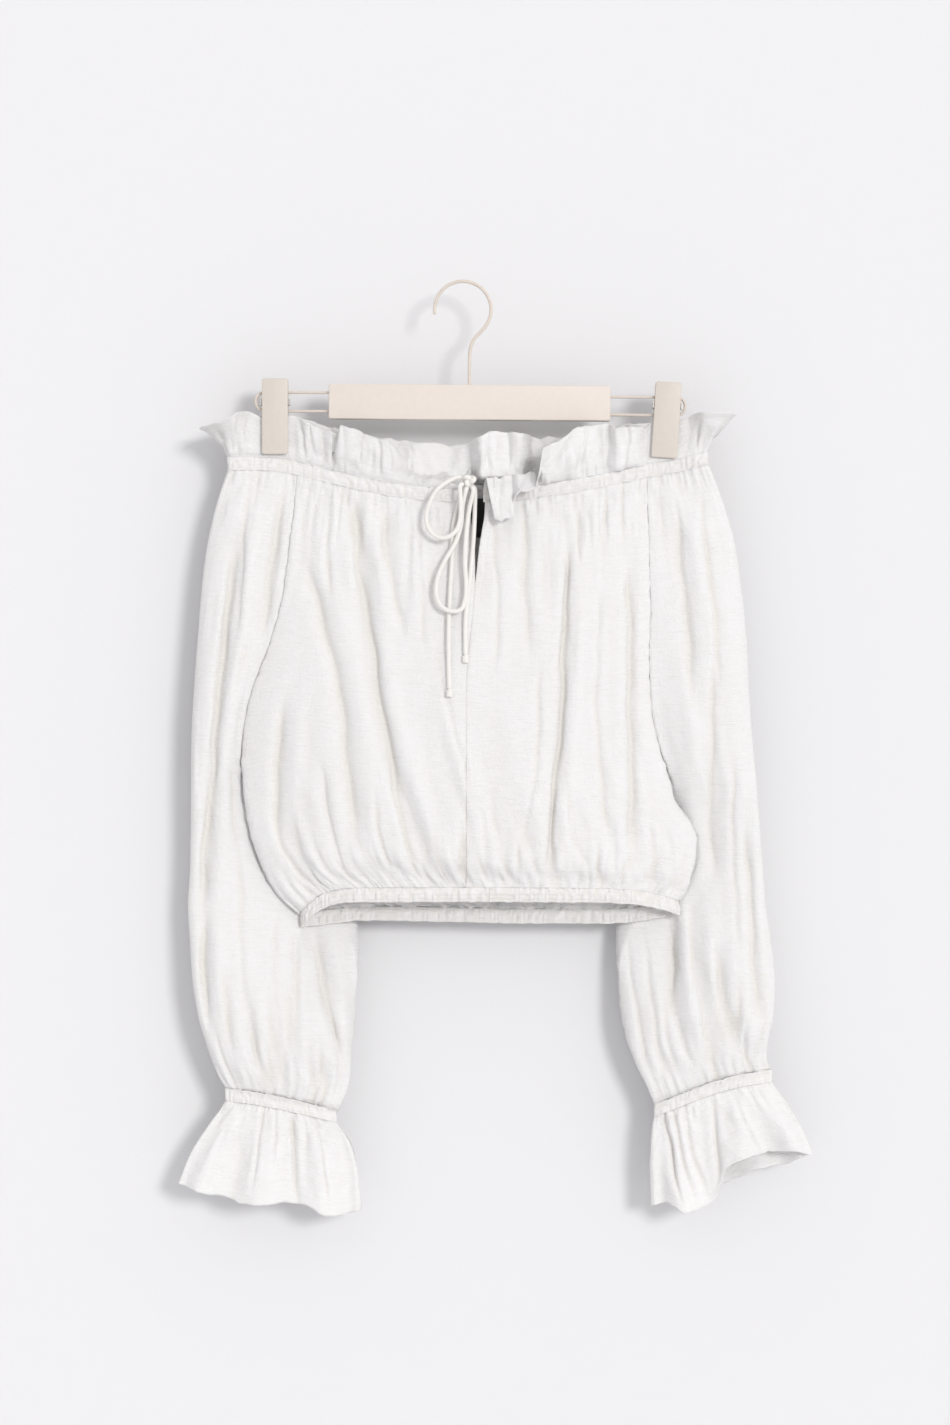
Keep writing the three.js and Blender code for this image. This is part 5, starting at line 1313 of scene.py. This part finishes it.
def block(name, width, depth, height, corner, edge, centre=(0, 0, 0)):
    """A moulded block: corners rounded as seen from the front, and all edges softened."""
    bpy.ops.object.select_all(action="DESELECT")
    bpy.ops.mesh.primitive_cube_add(size=1, location=(0, 0, 0))
    obj = bpy.context.object
    obj.name = name
    obj.data.name = name
    obj.scale = (width * MM, depth * MM, height * MM)
    bpy.ops.object.transform_apply(location=False, rotation=False, scale=True)
    if corner:
        bpy.ops.object.mode_set(mode="EDIT")
        bpy.ops.mesh.select_mode(type="EDGE")
        bpy.ops.mesh.select_all(action="DESELECT")
        bpy.ops.object.mode_set(mode="OBJECT")
        points = obj.data.vertices
        for line in obj.data.edges:
            a, b = (points[i].co for i in line.vertices)
            line.select = abs(a.y - b.y) > depth * MM / 2
        bpy.ops.object.mode_set(mode="EDIT")
        bpy.ops.mesh.bevel(offset=corner * MM, segments=5)
        bpy.ops.object.mode_set(mode="OBJECT")
    soft = obj.modifiers.new("soft_edges", "BEVEL")
    soft.width = edge * MM
    soft.segments = 3
    soft.limit_method = "ANGLE"
    soft.angle_limit = math.radians(50)
    bpy.ops.object.modifier_apply(modifier=soft.name)
    obj.data.transform(Matrix.Translation(Vector(centre) * MM))
    return obj


def wire(name, points, radius):
    """A bent wire: a curve through its places with a round section, made a mesh."""
    curve = bpy.data.curves.new(name, "CURVE")
    curve.dimensions = "3D"
    curve.bevel_depth = radius * MM
    curve.bevel_resolution = 5
    curve.use_fill_caps = True
    line = curve.splines.new("POLY")
    route = smooth_route(points, 6)
    line.points.add(len(route) - 1)
    for spot, place in zip(line.points, route):
        spot.co = (*(float(c) * MM for c in place), 1)
    obj = bpy.data.objects.new(name, curve)
    bpy.context.scene.collection.objects.link(obj)
    pick(obj)
    bpy.ops.object.convert(target="MESH")
    return bpy.context.object


hook_low = -HOOK_R + HOOK_WIRE / 2
hook_points = [
    (HOOK_R * math.cos(a), 0, hook_low + HOOK_R * math.sin(a))
    for a in np.radians((190, 180, 160, 140, 120, 100, 90, 75, 55, 35, 15, -5, -25, -42))
]
bar_top = BAR["z"] + BAR["height"] / 2
hook_points += [(9.4, 0, -44.6), (6.4, 0, -52), (5.8, 0, -62), (5.8, 0, bar_top + SEAM)]
hook = finish_solid(wire("hook_wire", hook_points, HOOK_WIRE / 2), tilt)
settle(hook, wire_finish, "painted_wire", "hanger_hook")

centre = (BAR["x"], 0, BAR["z"])
bar = block("hanger_bar_moulding", BAR["width"], BAR["depth"], BAR["height"], 1.6, 0.9, centre)
finish_solid(bar, tilt)
settle(bar, bar_finish, "bar_plastic", "hanger_bar")

for side, end, top, low in ((-1, -165, -88.6, -103.6), (1, 178.6, -90.2, -104.6)):
    start = BAR["x"] + side * (BAR["width"] / 2 + SEAM)
    r, middle = (top - low) / 2, (top + low) / 2
    points = [(start, 0, top), (mix(start, end, 0.45), 0, top), (end - side * (r + 2), 0, top)]
    for a in (60, 30, 0, -30, -60):
        a = math.radians(a)
        points.append((end - side * r * (1 - math.cos(a)), 0, middle + r * math.sin(a)))
    points += [(end - side * (r + 2), 0, low), (mix(start, end, 0.45), 0, low), (start, 0, low)]
    name = "left" if side < 0 else "right"
    arm = finish_solid(wire("arm_wire_" + name, points, ARM_WIRE / 2), tilt)
    settle(arm, wire_finish, "painted_wire", "hanger_arm_" + name)

for name, x, z, angle in (("left", -150.2, -106.9, 0), ("right", 162.6, -109.8, 3.6)):
    move = Matrix.Translation((x * MM, 0, z * MM)) @ Matrix.Rotation(math.radians(angle), 4, "Y")
    for face, word in ((-1, "front"), (1, "back")):
        y = face * (CLIP["inner"] + CLIP["jaw"] / 2)
        size = CLIP["width"], CLIP["jaw"], CLIP["height"]
        parts = [block(f"clip_{name}_{word}_plate", *size, 1.8, 0.6, (0, y, 0))]
        for k in range(RIBS["count"]):
            spot = (0, face * (CLIP["inner"] - 0.1), RIBS["first"] + RIBS["pitch"] * k - CLIP["height"] / 2)
            parts.append(block("rib", CLIP["width"] - 4, 0.7, 1.2, 0, 0.25, spot))
        if face > 0:
            spot = (0, CLIP["inner"] + CLIP["jaw"] - 0.2, CLIP["height"] / 2 - 9)
            parts.append(block("finger_pad", CLIP["width"] - 5, 0.9, 12, 3, 0.35, spot))
        jaw = finish_solid(together(parts), move)
        settle(jaw, clip_finish, "clip_plastic", f"clip_{name}_{word}_jaw")
    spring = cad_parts[f"clip_{name}_spring"]
    spring.data.materials.clear()
    spring.data.materials.append(steel_finish)


# Stage: pale wall and floor, soft light from the upper right
def stage_material(name, colour, one_sided):
    made, tree = start_material(name)
    coordinates = put(tree, "ShaderNodeTexCoord").outputs["Object"]
    cloud = grain(tree, coordinates, (1.5, 1.5, 1.5), 2, 0.5)
    paler = tuple(min(c * 1.01, 1) for c in colour[:3]) + (1,)
    face = surface(tree, blend_colours(tree, cloud, colour, paler), 0.9, {"Specular IOR Level": 0.1})
    if one_sided:
        clear = put(tree, "ShaderNodeBsdfTransparent").outputs["BSDF"]
        behind = put(tree, "ShaderNodeNewGeometry").outputs["Backfacing"]
        face = put(tree, "ShaderNodeMixShader", {"Fac": behind, 1: face, 2: clear}).outputs["Shader"]
    return end_material(made, face)


def stage_plane(name, width, height, matrix, finish):
    bpy.ops.object.select_all(action="DESELECT")
    bpy.ops.mesh.primitive_plane_add(size=1)
    obj = bpy.context.object
    obj.name = name
    obj.data.transform(matrix @ Matrix.Diagonal((width, height, 1, 1)))
    obj.data.materials.append(finish)
    return obj


# Just behind the deepest cloth, in metres
WALL_Y = 0.043
stage_plane(
    "pale_wall", 6, 4,
    Matrix.Translation((0, WALL_Y, 0)) @ Matrix.Rotation(math.pi / 2, 4, "X"),
    stage_material("pale_wall", (0.788, 0.786, 0.797, 1), True),
)
stage_plane(
    "pale_floor", 6, 5,
    Matrix.Translation((0, -1.0, -1.05)),
    stage_material("pale_floor", (0.83, 0.83, 0.835, 1), False),
)

lamp = bpy.data.lights.new("soft_light", "SUN")
lamp.energy = 1.3
lamp.angle = math.radians(13)
lamp.color = (1.0, 0.99, 0.975)
soft_light = bpy.data.objects.new("soft_light", lamp)
soft_light.location = (0.7, -2.7, 0.2)
soft_light.rotation_euler = Vector((-0.46, 1.0, -0.24)).to_track_quat("-Z", "Y").to_euler()
bpy.context.scene.collection.objects.link(soft_light)

sky = bpy.data.worlds.new("studio")
sky.use_nodes = True
sky.node_tree.nodes["Background"].inputs["Color"].default_value = (0.985, 0.975, 0.985, 1)
sky.node_tree.nodes["Background"].inputs["Strength"].default_value = 0.8
bpy.context.scene.world = sky
bpy.context.scene.view_settings.view_transform = "Standard"
